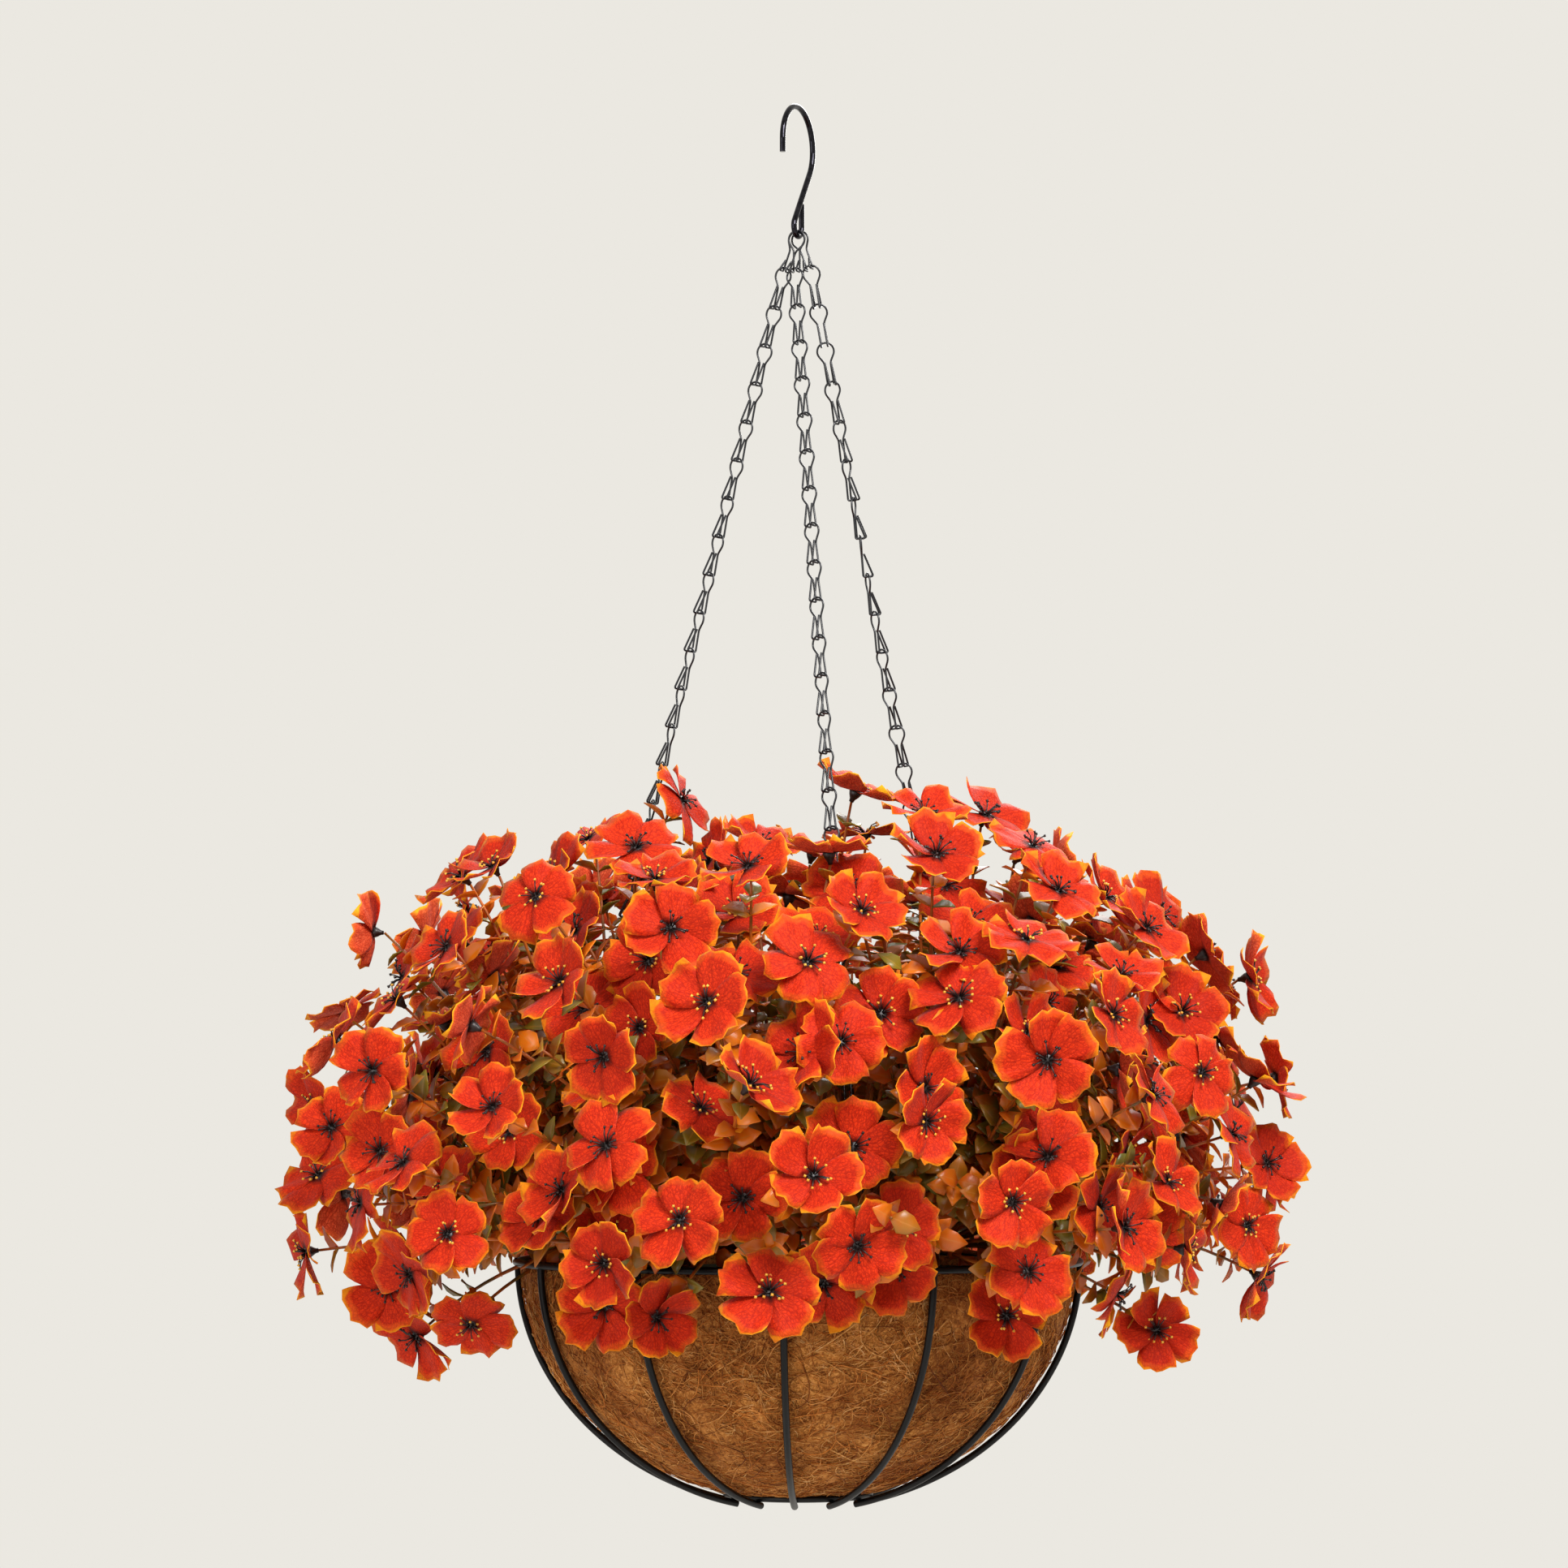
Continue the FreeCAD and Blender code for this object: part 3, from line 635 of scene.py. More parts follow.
# The backs of the petals take a deeper red copy of the cloth: painted shade, for the sides that
# face away from the light.
petal_back_painted_shade = petal_cloth("petal_cloth_back_painted_shade", "#8C0800", "#D62A04", "#E63E10", "#F08A0C")
print("petal finishes:", petal_front.name, petal_back_painted_shade.name)

# %% [markdown]
# ### Leaves, stems and stamens
#
# The leaves and stems are moulded polyethylene, thin enough to let some light through.  The
# moulder shoots two colours at once, so a leaf runs from olive green to rust.  Stamens are
# dipped thread: black, or black with a yellow bead.

# %% Leaf plastic
def leaf_plastic():
    """Two-colour polyethylene: green to rust by the attribute called tint, with a mid vein."""
    material, tree, shader = new_material(
        "moulded_leaf_polyethylene", 0.34, Specular_IOR_Level=0.5, Transmission_Weight=0.12,
        Subsurface_Weight=0.2, Subsurface_Scale=2 * MM)
    place = add_node(tree, "ShaderNodeTexCoord").outputs["Object"]
    uv = add_node(tree, "ShaderNodeUVMap", uv_map="surface").outputs["UV"]
    axes = add_node(tree, "ShaderNodeSeparateXYZ", {0: uv})
    own = add_node(tree, "ShaderNodeAttribute", attribute_name="tint").outputs["Fac"]
    drift = add_node(
        tree, "ShaderNodeTexNoise",
        {"Vector": place, "Scale": 1 / (16 * MM), "Detail": 2.0},
    )
    amount = add_node(
        tree, "ShaderNodeMath", {0: drift.outputs["Fac"], 1: 0.35, 2: own},
        operation="MULTIPLY_ADD",
    )
    colour = add_node(
        tree, "ShaderNodeValToRGB", {0: amount.outputs[0]},
        stops=[(0.25, "#59601A"), (0.5, "#8E7A1C"), (0.72, "#DA6A0C"), (1.0, "#FF8A10")],
    ).outputs["Color"]
    vein = add_node(
        tree, "ShaderNodeValToRGB", {0: axes.outputs["X"]},
        stops=[(0.44, "#000000"), (0.5, "#FFFFFF"), (0.56, "#000000")],
    ).outputs["Color"]
    paler = add_node(
        tree, "ShaderNodeMix", {0: 0.35, 6: colour, 7: "#E0A050"}, data_type="RGBA",
    ).outputs[2]
    colour = add_node(
        tree, "ShaderNodeMix", {0: vein, 6: colour, 7: paler}, data_type="RGBA",
    ).outputs[2]
    feed_shader(tree, shader, Base_Color=colour)
    bump = add_node(
        tree, "ShaderNodeBump",
        {"Height": drift.outputs["Fac"], "Strength": 0.4, "Distance": 0.6 * MM},
    )
    feed_shader(tree, shader, Normal=bump.outputs["Normal"])
    return material

# %% Stem plastic
def stem_plastic():
    """Moulded stems: rust brown, greener in places, satin."""
    material, tree, shader = new_material("moulded_stem_polyethylene", 0.42)
    place = add_node(tree, "ShaderNodeTexCoord").outputs["Object"]
    drift = add_node(
        tree, "ShaderNodeTexNoise",
        {"Vector": place, "Scale": 1 / (14 * MM), "Detail": 3.0},
    )
    colour = add_node(
        tree, "ShaderNodeValToRGB", {0: drift.outputs["Fac"]},
        stops=[(0.35, "#6A4E16"), (0.5, "#A85414"), (0.7, "#D0701E")],
    ).outputs["Color"]
    feed_shader(tree, shader, Base_Color=colour)
    return material

# %% Stamen thread
def thread(name, dark, light, roughness):
    """Dipped stamen thread or bead, with a faint change of shade."""
    material, tree, shader = new_material(name, roughness)
    place = add_node(tree, "ShaderNodeTexCoord").outputs["Object"]
    drift = add_node(tree, "ShaderNodeTexNoise", {"Vector": place, "Scale": 1 / (3 * MM)})
    colour = add_node(
        tree, "ShaderNodeValToRGB", {0: drift.outputs["Fac"]},
        stops=[(0.3, dark), (0.7, light)],
    ).outputs["Color"]
    feed_shader(tree, shader, Base_Color=colour)
    return material


leaf_finish = leaf_plastic()
stem_finish = stem_plastic()
black_thread = thread("black_stamen_thread", "#0E0A0A", "#241412", 0.4)
yellow_bead = thread("yellow_stamen_bead", "#D9901E", "#F2C04A", 0.5)
print("plastics:", leaf_finish.name, stem_finish.name)

# %% [markdown]
# ## One flower
#
# Five broad petals overlap at their sides.  A petal is a sheet over two parameters: s from
# throat to edge, t from side to side.  Its outline swells quickly and stays wide, its edge is
# wavy, and it dishes and ruffles more towards the edge.  Ten different flowers are made once,
# and every flower in the basket is one of them, turned and scaled.

# %% The petal sheet
PETALS = 5
PETAL_ROWS, PETAL_COLUMNS = 6, 7
FLOWER_RADIUS = 24.5 * MM
THROAT = 0.06                 # where a petal starts, as a share of its length


def petal_sheet(cup, wave_phase, wave_depth):
    """One petal in the XY plane along +X: points (rows, columns, 3), length one.

    Along = s (1 - 0.17 t^2 s) + 0.045 s^4 sin(7.5 t + 2 phase), whose last term scallops the
    edge.  Across = t w(s) with w(s) = 0.62 s^0.62 (1 - 0.22 s^3).
    Height = cup s^2 - 0.05 s^6 (1 + t) + wave s^2 sin(4.5 t + phase) (0.4 + 0.6 |t|)
    + 0.02 t s: the edge curls back on one side, and the whole petal leans a little.
    """
    s = np.linspace(THROAT, 1, PETAL_ROWS)[:, None]
    t = np.linspace(-1, 1, PETAL_COLUMNS)[None]
    scallop = 0.045 * s ** 4 * np.sin(7.5 * t + 2 * wave_phase)
    along = s * (1 - 0.17 * t ** 2 * s) + scallop
    across = t * 0.62 * s ** 0.62 * (1 - 0.22 * s ** 3)
    wave = wave_depth * s ** 2 * np.sin(4.5 * t + wave_phase) * (0.4 + 0.6 * np.abs(t))
    height = cup * s ** 2 - 0.05 * s ** 6 * (1 + t) + wave + 0.02 * t * s
    return np.stack([along + 0 * t, across, height], axis=-1)

# %% Distance from the petal's edge
def petal_edge():
    """How near each point of the petal's grid is to its outer edge, from 0 to 1."""
    s = np.linspace(THROAT, 1, PETAL_ROWS)[:, None]
    t = np.abs(np.linspace(-1, 1, PETAL_COLUMNS))[None]
    return np.maximum(s + 0 * t, t * np.clip(s * 2.0 - 0.35, 0, 1)).ravel()

# %% Five petals make a flower
def flower_petals():
    """The five petals of one flower, turned a fifth of a circle each and a little uneven."""
    petals = []
    bowl = draw.uniform(0.02, 0.38)
    for number in range(PETALS):
        sheet = petal_sheet(bowl + draw.uniform(-0.16, 0.16), draw.uniform(0, 2 * np.pi),
                            draw.uniform(0.07, 0.17))
        sheet = sheet * draw.uniform(0.88, 1.08)
        angle = 2 * np.pi * number / PETALS + draw.normal(0, 0.08)
        roll = draw.normal(0, 0.16) + 0.14
        turned = sheet @ turn_about("X", roll).T @ turn_about("Z", angle).T
        petals.append(turned.reshape(-1, 3))
    return np.concatenate(petals)


def turn_about(axis, angle):
    """The matrix that turns a column vector about X, Y or Z by an angle in radians."""
    c, s = math.cos(angle), math.sin(angle)
    return {"X": np.array([[1, 0, 0], [0, c, -s], [0, s, c]]),
            "Y": np.array([[c, 0, s], [0, 1, 0], [-s, 0, c]]),
            "Z": np.array([[c, -s, 0], [s, c, 0], [0, 0, 1]])}[axis]

# %% Ten kinds of flower
FLOWER_KINDS = [flower_petals() for number in range(10)]
print("flower kinds:", len(FLOWER_KINDS), "with", PETALS, "petals each")
PETAL_FACES = repeated(grid_faces(PETAL_ROWS, PETAL_COLUMNS), PETALS, PETAL_ROWS * PETAL_COLUMNS)
petal_u, petal_v = np.meshgrid(np.linspace(0, 1, PETAL_COLUMNS),
                               np.linspace(THROAT, 1, PETAL_ROWS))
PETAL_UV = np.tile(np.stack([petal_u, petal_v], axis=-1).reshape(-1, 2), (PETALS, 1))
PETAL_EDGE = np.tile(petal_edge(), PETALS)

# %% Stamens
STAMENS = 11
BEAD_FACES = np.array([[0, 2, 4], [2, 1, 4], [1, 3, 4], [3, 0, 4],
                       [2, 0, 5], [1, 2, 5], [3, 1, 5], [0, 3, 5]])
BEAD_POINTS = np.array([[1, 0, 0], [-1, 0, 0], [0, 1, 0], [0, -1, 0], [0, 0, 1], [0, 0, -1.0]])


def stamen_paths():
    """Curved threads from the throat: they fan out and rise, in units of the petal length."""
    angle = np.arange(STAMENS) * 2 * np.pi / STAMENS + draw.normal(0, 0.14, STAMENS)
    reach = draw.uniform(0.16, 0.34, STAMENS)
    rise = draw.uniform(0.10, 0.26, STAMENS)
    s = np.linspace(0, 1, 3)[None]
    radius = reach[:, None] * s + 0.02
    height = rise[:, None] * np.sin(s * 1.7)
    return np.stack([radius * np.cos(angle)[:, None], radius * np.sin(angle)[:, None],
                     height + 0 * radius], axis=-1)


def stamen_set():
    """Threads and beads of one flower: points, face arrays, and which faces are yellow."""
    paths = stamen_paths()
    points, faces = tubes(paths, np.full(paths.shape[:2], 0.016), 3)
    beads = paths[:, -1:, :] + BEAD_POINTS[None] * 0.04
    bead_faces = repeated(BEAD_FACES, STAMENS, len(BEAD_POINTS)) + len(points)
    return np.concatenate([points, beads.reshape(-1, 3)]), faces, bead_faces


STAMEN_KINDS = [stamen_set() for number in range(4)]

# %% Calyx
CALYX_SIDES = 8


def calyx():
    """The green-black cup behind the petals: a turned cone, in units of the petal length."""
    radius = np.array([0.001, 0.10, 0.15, 0.11, 0.06, 0.05, 0.001])[:, None]
    height = np.array([0.02, 0.02, -0.02, -0.12, -0.2, -0.26, -0.26])[:, None]
    angle = np.arange(CALYX_SIDES)[None] * 2 * np.pi / CALYX_SIDES
    points = np.stack([radius * np.cos(angle), radius * np.sin(angle), height + 0 * angle],
                      axis=-1)
    front = np.arange(CALYX_SIDES)[None]
    back = (len(radius) - 1) * CALYX_SIDES + front[:, ::-1]
    walls = grid_faces(len(radius), CALYX_SIDES, wrap=True)[:, ::-1]
    return points.reshape(-1, 3), [walls, front, back]


CALYX_POINTS, CALYX_FACES = calyx()
print("stamen kinds:", len(STAMEN_KINDS), "calyx points:", len(CALYX_POINTS))

# %% [markdown]
# ## Where the flowers stand
#
# The foliage is a dome that hangs over the rim.  Flowers are dealt over it in a golden-angle
# spiral, which spreads any number of points evenly over a round surface, in an outer and an
# inner layer, and each is then moved by a random amount.  A few stand well out on long stems;
# those make the ragged outline, so they are listed one by one.  No flower is left where one of
# the chains passes.

# %% The dome and its spiral
DOME_MIDDLE = 62 * MM         # the widest level, above the rim
FLOWER_OVERHANG = 16 * MM     # how far a flower reaches out past its own place
DOME_MARGIN = 8 * MM          # the same, upwards and downwards
STRAY_CLEARANCE = 27 * MM     # between a listed flower and the others
FLOWER_CHAIN_CLEARANCE = 26 * MM
FLOWER_SPIRAL = math.pi * (3 - math.sqrt(5))


def dome_point(around, polar, share):
    """A point of the dome at an angle round it and a polar angle from its top, as arrays.

    Outward it reaches (share of the widest) sin(polar)^0.8; upward cos(polar)^0.9 of the top,
    and below the widest level 1.5 cos(polar) of the hem's depth.
    """
    outward = (DOME_REACH - FLOWER_OVERHANG) * share * np.sin(polar) ** 0.8
    cosine = np.cos(polar)
    upward = np.where(cosine > 0,
                      np.abs(cosine) ** 0.9 * (DOME_TOP - DOME_MIDDLE - DOME_MARGIN) * share,
                      cosine * (DOME_MIDDLE - DOME_HEM - DOME_MARGIN) * 1.5)
    return np.stack([outward * np.sin(around), -outward * np.cos(around),
                     RIM_LEVEL + DOME_MIDDLE + upward], axis=-1)


def spiral(count, lowest, start):
    """Angles of a golden-angle spiral from the top of the dome to the lowest cosine."""
    number = np.arange(count) + 0.5
    cosine = 1 - (1 - lowest) * number / count
    return (number * FLOWER_SPIRAL + start) % (2 * np.pi), np.arccos(cosine)

# %% Distance from the chains
def chain_distance(points):
    """Distance of each point from the nearest chain, a straight line from hook to rim."""
    top = np.array([0, 0, TOP_LINK_LEVEL])
    ends = np.stack([RIM_RADIUS * np.sin(CHAIN_ANGLES), -RIM_RADIUS * np.cos(CHAIN_ANGLES),
                     np.full(3, RIM_LEVEL)], axis=-1)
    along = ends - top
    length = np.sum(along ** 2, axis=-1)
    share = np.clip(((points[:, None] - top) * along[None]).sum(-1) / length, 0, 1)
    nearest = top + share[..., None] * along
    return np.linalg.norm(points[:, None] - nearest, axis=-1).min(axis=1)

# %% One layer of flowers
def scattered(count, share, lowest, start, spread):
    """One layer of flowers: places on the dome, moved at random, and which way they face."""
    around, polar = spiral(count, lowest, start)
    around = around + draw.normal(0, spread / DOME_REACH, count)
    places = dome_point(around, polar, share * draw.uniform(0.90, 1.05, count))
    heart = np.array([0, 0, RIM_LEVEL + 35 * MM])
    facing = unit(places - heart) + draw.normal(0, 0.36, (count, 3))
    facing[:, 2] += 0.12
    return places, unit(facing)


# %% Flowers that stand out
VIEW_ANGLE = math.radians(23)
# Angle from the viewer's side (degrees), height over the rim (mm), distance from the axis
# (mm), and the way the flower faces: turned round (degrees) and tilted up (degrees).
STRAYS = [
    (-105, 228, 118, -60, 52), (-70, 246, 66, 70, 20), (40, 250, 48, 60, 62),
    (62, 236, 112, 40, 55), (78, 208, 140, 92, 8), (-80, 205, 182, -70, 40),
    (-88, 176, 228, -95, 5), (84, 184, 194, 62, 28), (92, 152, 244, 78, 10),
    (-84, 84, 258, -62, -12), (-96, 36, 248, -100, 0), (-82, 6, 262, -72, -8),
    (-74, -12, 222, -18, 4), (-78, -38, 205, -40, -35), (-66, -30, 186, -10, -38),
    (68, -33, 200, 14, 0), (86, -8, 246, 70, -32), (94, 44, 256, 88, -6),
    (88, 98, 256, 96, 10), (34, -22, 186, 8, -6), (16, 3, 176, 6, 2),
    (4, -5, 176, -14, -30), (-30, 18, 186, -4, 6), (-32, -17, 184, -20, 0),
    (-23, -22, 182, 30, -8), (80, 20, 240, 40, 5), (-60, 60, 246, -30, 8),
    (60, 100, 238, 30, 12),
]

# %% Places of the listed flowers
def stray_flowers():
    """Places and facings of the flowers that are listed one by one."""
    angle, height, reach, turned, tilt = np.array(STRAYS, float).T
    around = np.radians(angle) + VIEW_ANGLE
    places = np.stack([reach * MM * np.sin(around), -reach * MM * np.cos(around),
                       RIM_LEVEL + height * MM], axis=-1)
    turn = np.radians(turned) + VIEW_ANGLE
    tilt = np.radians(tilt)
    facing = np.stack([np.cos(tilt) * np.sin(turn), -np.cos(tilt) * np.cos(turn),
                       np.sin(tilt)], axis=-1)
    return places, facing

# %% Gather all the flowers
outer_places, outer_facing = scattered(138, 0.99, -0.50, 0.4, 10 * MM)
inner_places, inner_facing = scattered(105, 0.85, -0.30, 2.1, 10 * MM)
stray_places, stray_facing = stray_flowers()
crowd = np.concatenate([outer_places, inner_places])
gap_to_stray = np.linalg.norm(crowd[:, None] - stray_places[None], axis=-1).min(axis=1)
low_inside = (crowd[:, 2] < RIM_LEVEL + 22 * MM) & (
    np.linalg.norm(crowd[:, :2], axis=-1) < RIM_RADIUS + 26 * MM)
clear_of_chains = chain_distance(crowd) > FLOWER_CHAIN_CLEARANCE
free = (gap_to_stray > STRAY_CLEARANCE) & clear_of_chains & ~low_inside
places = np.concatenate([crowd[free], stray_places])
facings = np.concatenate([np.concatenate([outer_facing, inner_facing])[free], stray_facing])
print("flowers:", len(places))

# %% [markdown]
# ## Stems and leaves
#
# Every flower ends a branch of its bush.  A branch leaves the stake low in the middle of its
# bush, and bends over outwards: a curve with three control points.  Its leaves stand in
# opposite pairs, each pair a quarter turn from the one below, as on eucalyptus.

# %% Which bush holds which flower
def bush_of(points):
    """Index of the bush that each point belongs to: 0 in the middle, then by sector."""
    angle = np.arctan2(points[:, 0], -points[:, 1]) - CHAIN_ANGLES[0]
    sector = np.floor((angle % (2 * np.pi)) / (2 * np.pi / len(OUTER_BUSHES))).astype(int)
    return np.where(np.linalg.norm(points[:, :2], axis=-1) < CROWN_RADIUS, 0, sector + 1)


def bush_root(index):
    """The point on top of a bush's stake."""
    low, high = node_box(BUSH_NAMES[index].replace("bush", "stake"))
    return np.array([(low[0] + high[0]) / 2, (low[1] + high[1]) / 2, high[2] + 3 * MM])

# %% Branches
STEM_STATIONS = 12


def branch_paths(root, tips, facing):
    """Curves from the root to each flower's back: B(t) over root, elbow and tip.

    B(t) = (1-t)^2 root + 2 t (1-t) elbow + t^2 tip, where the elbow lies outwards and up.
    """
    back = tips - facing * FLOWER_RADIUS * 0.26
    elbow = root * 0.35 + back * 0.65 - facing * 16 * MM
    elbow[:, 2] += draw.uniform(4, 22, len(tips)) * MM
    t = np.linspace(0, 1, STEM_STATIONS)[None, :, None]
    return ((1 - t) ** 2 * root + 2 * t * (1 - t) * elbow[:, None] + t ** 2 * back[:, None])


# %% Leaf shape
LEAF_ROWS, LEAF_COLUMNS = 4, 3


def leaf_sheet():
    """An ovate leaf along +X, length one, that dishes across and droops towards the tip.

    Half width w = 0.36 sin(pi s^0.8) + 0.02, height = 0.10 t^2 w / 0.36 - 0.22 s^2.
    """
    s = np.linspace(0, 1, LEAF_ROWS)[:, None]
    t = np.linspace(-1, 1, LEAF_COLUMNS)[None]
    width = 0.36 * np.sin(np.pi * s ** 0.8) + 0.02
    height = 0.10 * t ** 2 * width / 0.36 - 0.22 * s ** 2
    return np.stack([s + 0 * t, t * width, height], axis=-1).reshape(-1, 3)


LEAF_POINTS = leaf_sheet()
LEAF_FACES = grid_faces(LEAF_ROWS, LEAF_COLUMNS)
leaf_v, leaf_u = np.meshgrid(np.linspace(0, 1, LEAF_ROWS), np.linspace(0, 1, LEAF_COLUMNS),
                             indexing="ij")
LEAF_UV = np.stack([leaf_u, leaf_v], axis=-1).reshape(-1, 2)
print("leaf half width: %.2f of its length" % LEAF_POINTS[:, 1].max())

# %% Copies with a frame each
def axes_facing(normal):
    """Matrices whose third column is the normal, turned about it by a random angle."""
    helper = unit(draw.normal(size=normal.shape))
    first = unit(np.cross(helper, normal))
    return np.stack([first, np.cross(normal, first), normal], axis=-1)


def placed(shape, frames, origins, scales):
    """A shape (V, 3) put at many origins with many frames: origin + frame . (scale point)."""
    scaled = shape[None] * scales[:, None, None]
    return np.einsum("nij,nvj->nvi", frames, scaled) + origins[:, None]

# %% Leaf pairs along the branches
def leaf_frames(paths, first_share, last_share, pairs):
    """Origins and frames of opposite leaf pairs along branches, alternating a quarter turn."""
    count = len(paths)
    share = np.linspace(first_share, last_share, pairs)[None]
    share = share + draw.uniform(-0.02, 0.02, (count, pairs))
    position = np.clip(share, 0, 0.999) * (STEM_STATIONS - 1)
    index = position.astype(int)
    blend = (position - index)[..., None]
    row = np.arange(count)[:, None]
    origin = paths[row, index] * (1 - blend) + paths[row, index + 1] * blend
    ahead = unit(paths[row, index + 1] - paths[row, index])
    side = unit(np.cross(ahead, np.array([0.2, 0.1, 1.0])))
    lift = np.cross(side, ahead)
    quarter = (np.arange(pairs)[None] % 2) * np.pi / 2 + draw.normal(0, 0.35, (count, pairs))
    across = np.cos(quarter)[..., None] * side + np.sin(quarter)[..., None] * lift
    both = np.stack([across, -across], axis=2)
    ahead = np.repeat(ahead[:, :, None], 2, axis=2)
    along = unit(both + ahead * draw.uniform(0.3, 0.9, both.shape[:-1])[..., None])
    normal = unit(ahead - along * (ahead * along).sum(-1, keepdims=True)
                  + draw.normal(0, 0.12, both.shape))
    width = unit(np.cross(normal, along))
    frames = np.stack([along, width, np.cross(along, width)], axis=-1)
    origin = np.repeat(origin[:, :, None], 2, axis=2)
    return origin.reshape(-1, 3), frames.reshape(-1, 3, 3)


# %% [markdown]
# ## The seven bushes
#
# Each bush becomes four pieces: its petals, its stamens with the calyces, its leaves and its
# stems.  A Solidify modifier gives the petals and leaves the thickness of real cloth and
# plastic, and puts the deeper red, a painted shade, on the backs of the petals.

# %% Build the pieces of a bush
PETAL_THICKNESS = 0.35 * MM
LEAF_THICKNESS = 0.5 * MM
STEM_RADII = (1.3, 0.75)      # at the stake and at the flower, in millimetres
STEM_SIDES = 5
YELLOW_SHARE = 0.45           # of the flowers, those with yellow beads


def thicken(piece, thickness, back_material=0):
    """Give a sheet its real thickness; the back may take the next material in the list."""
    solid = piece.modifiers.new("thickness", "SOLIDIFY")
    solid.thickness = thickness
    solid.offset = 0.0
    solid.material_offset = back_material


def settle(piece, node):
    """Hide the frame's node that a finished bush piece replaces, and attach the piece to the
    basket's body.
    """
    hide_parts(node)
    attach(piece, "basket")

# %% Petals of a bush
def flower_piece(index, origins, frames, scales):
    """All petals of one bush as a single sheet piece."""
    kinds = draw.integers(0, len(FLOWER_KINDS), len(origins))
    shapes = np.stack(FLOWER_KINDS)[kinds]
    points = np.einsum("nij,nvj->nvi", frames, shapes * scales[:, None, None])
    points = (points + origins[:, None]).reshape(-1, 3)
    each = shapes.shape[1]
    faces = repeated(PETAL_FACES, len(origins), each)
    # Each flower gets a random amount of painted shade: its tint pulls the petals towards deep
    # red.
    tint = np.repeat(draw.beta(1.6, 2.6, len(origins)), each)
    attributes = {"tint": tint, "edge": np.tile(PETAL_EDGE, len(origins))}
    piece = make_piece("petals_" + BUSH_NAMES[index], points, [faces],
                       [petal_front, petal_back_painted_shade], np.tile(PETAL_UV, (len(origins), 1)),
                       attributes)
    # The back faces take the second material, the deeper red of the painted shade.
    thicken(piece, PETAL_THICKNESS, back_material=1)
    settle(piece, BUSH_NAMES[index])
    return piece

# %% Stamens and calyces of a bush
def stamen_piece(index, origins, frames, scales):
    """Stamens and calyces of one bush; some flowers have yellow beads, some black."""
    points, faces, looks, offset = [], [], [], 0
    kinds = draw.integers(0, len(STAMEN_KINDS), len(origins))
    yellow = draw.uniform(size=len(origins)) < YELLOW_SHARE
    for kind, (shape, walls, beads) in enumerate(STAMEN_KINDS):
        for bright in (False, True):
            chosen = (kinds == kind) & (yellow == bright)
            count = int(chosen.sum())
            if not count:
                continue
            group = placed(shape, frames[chosen], origins[chosen], scales[chosen])
            points.append(group.reshape(-1, 3))
            for part, look in [(array, 0) for array in walls] + [(beads, int(bright))]:
                faces.append(repeated(part, count, len(shape)) + offset)
                looks.append(np.full(len(faces[-1]), look))
            offset += group.shape[0] * group.shape[1]
    cups = placed(CALYX_POINTS, frames, origins, scales)
    for part in CALYX_FACES:
        faces.append(repeated(part, len(origins), len(CALYX_POINTS)) + offset)
        looks.append(np.zeros(len(faces[-1])))
    points.append(cups.reshape(-1, 3))
    piece = make_piece("stamens_" + BUSH_NAMES[index], np.concatenate(points), faces,
                       [black_thread, yellow_bead], face_material=np.concatenate(looks))
    settle(piece, BUSH_NAMES[index])
    return piece

# %% Leaves of a bush
def leaf_piece(index, origins, frames, scales):
    """All leaves of one bush as a single sheet piece, each with its own tint."""
    points = placed(LEAF_POINTS, frames, origins, scales).reshape(-1, 3)
    each = len(LEAF_POINTS)
    faces = repeated(LEAF_FACES, len(origins), each)
    depth = np.linalg.norm(origins[:, :2], axis=-1) / DOME_REACH
    own = np.clip(draw.beta(1.4, 1.6, len(origins)) * 0.75 + depth * 0.25, 0, 1)
    attributes = {"tint": np.repeat(own, each)}
    piece = make_piece("leaves_" + BUSH_NAMES[index], points, [faces], [leaf_finish],
                       np.tile(LEAF_UV, (len(origins), 1)), attributes)
    thicken(piece, LEAF_THICKNESS)
    settle(piece, BUSH_NAMES[index])
    return piece

# %% Stems of a bush
def stem_piece(index, paths):
    """The branches of one bush as tubes that thin out towards the flower."""
    radii = np.linspace(*STEM_RADII, paths.shape[1])[None] * MM * np.ones((len(paths), 1))
    points, faces = tubes(paths, radii, STEM_SIDES)
    piece = make_piece("stems_" + BUSH_NAMES[index], points, faces, [stem_finish])
    settle(piece, BUSH_NAMES[index])
    return piece


# %% Extra leafy sprigs without a flower
SPRIG_CHAIN_CLEARANCE = 14 * MM


def sprig_tips(count):
    """Tips of sprigs that fill the dome a little inside its surface."""
    around, polar = spiral(count, -0.45, 1.2)
    around = around + draw.normal(0, 0.08, count)
    tips = dome_point(around, polar, draw.uniform(0.72, 0.93, count))
    return tips, unit(tips - np.array([0, 0, RIM_LEVEL + 20 * MM]))


sprigs, sprig_facing = sprig_tips(165)
clear = chain_distance(sprigs) > SPRIG_CHAIN_CLEARANCE
sprigs, sprig_facing = sprigs[clear], sprig_facing[clear]
print("sprigs kept clear of the chains:", len(sprigs))

# %% Grow all seven bushes
LEAF_LENGTHS = (11.5, 16.5)   # shortest and longest, in millimetres
LEAF_CHAIN_CLEARANCE = 11 * MM
LEAF_RIM_CLEARANCE = 16 * MM

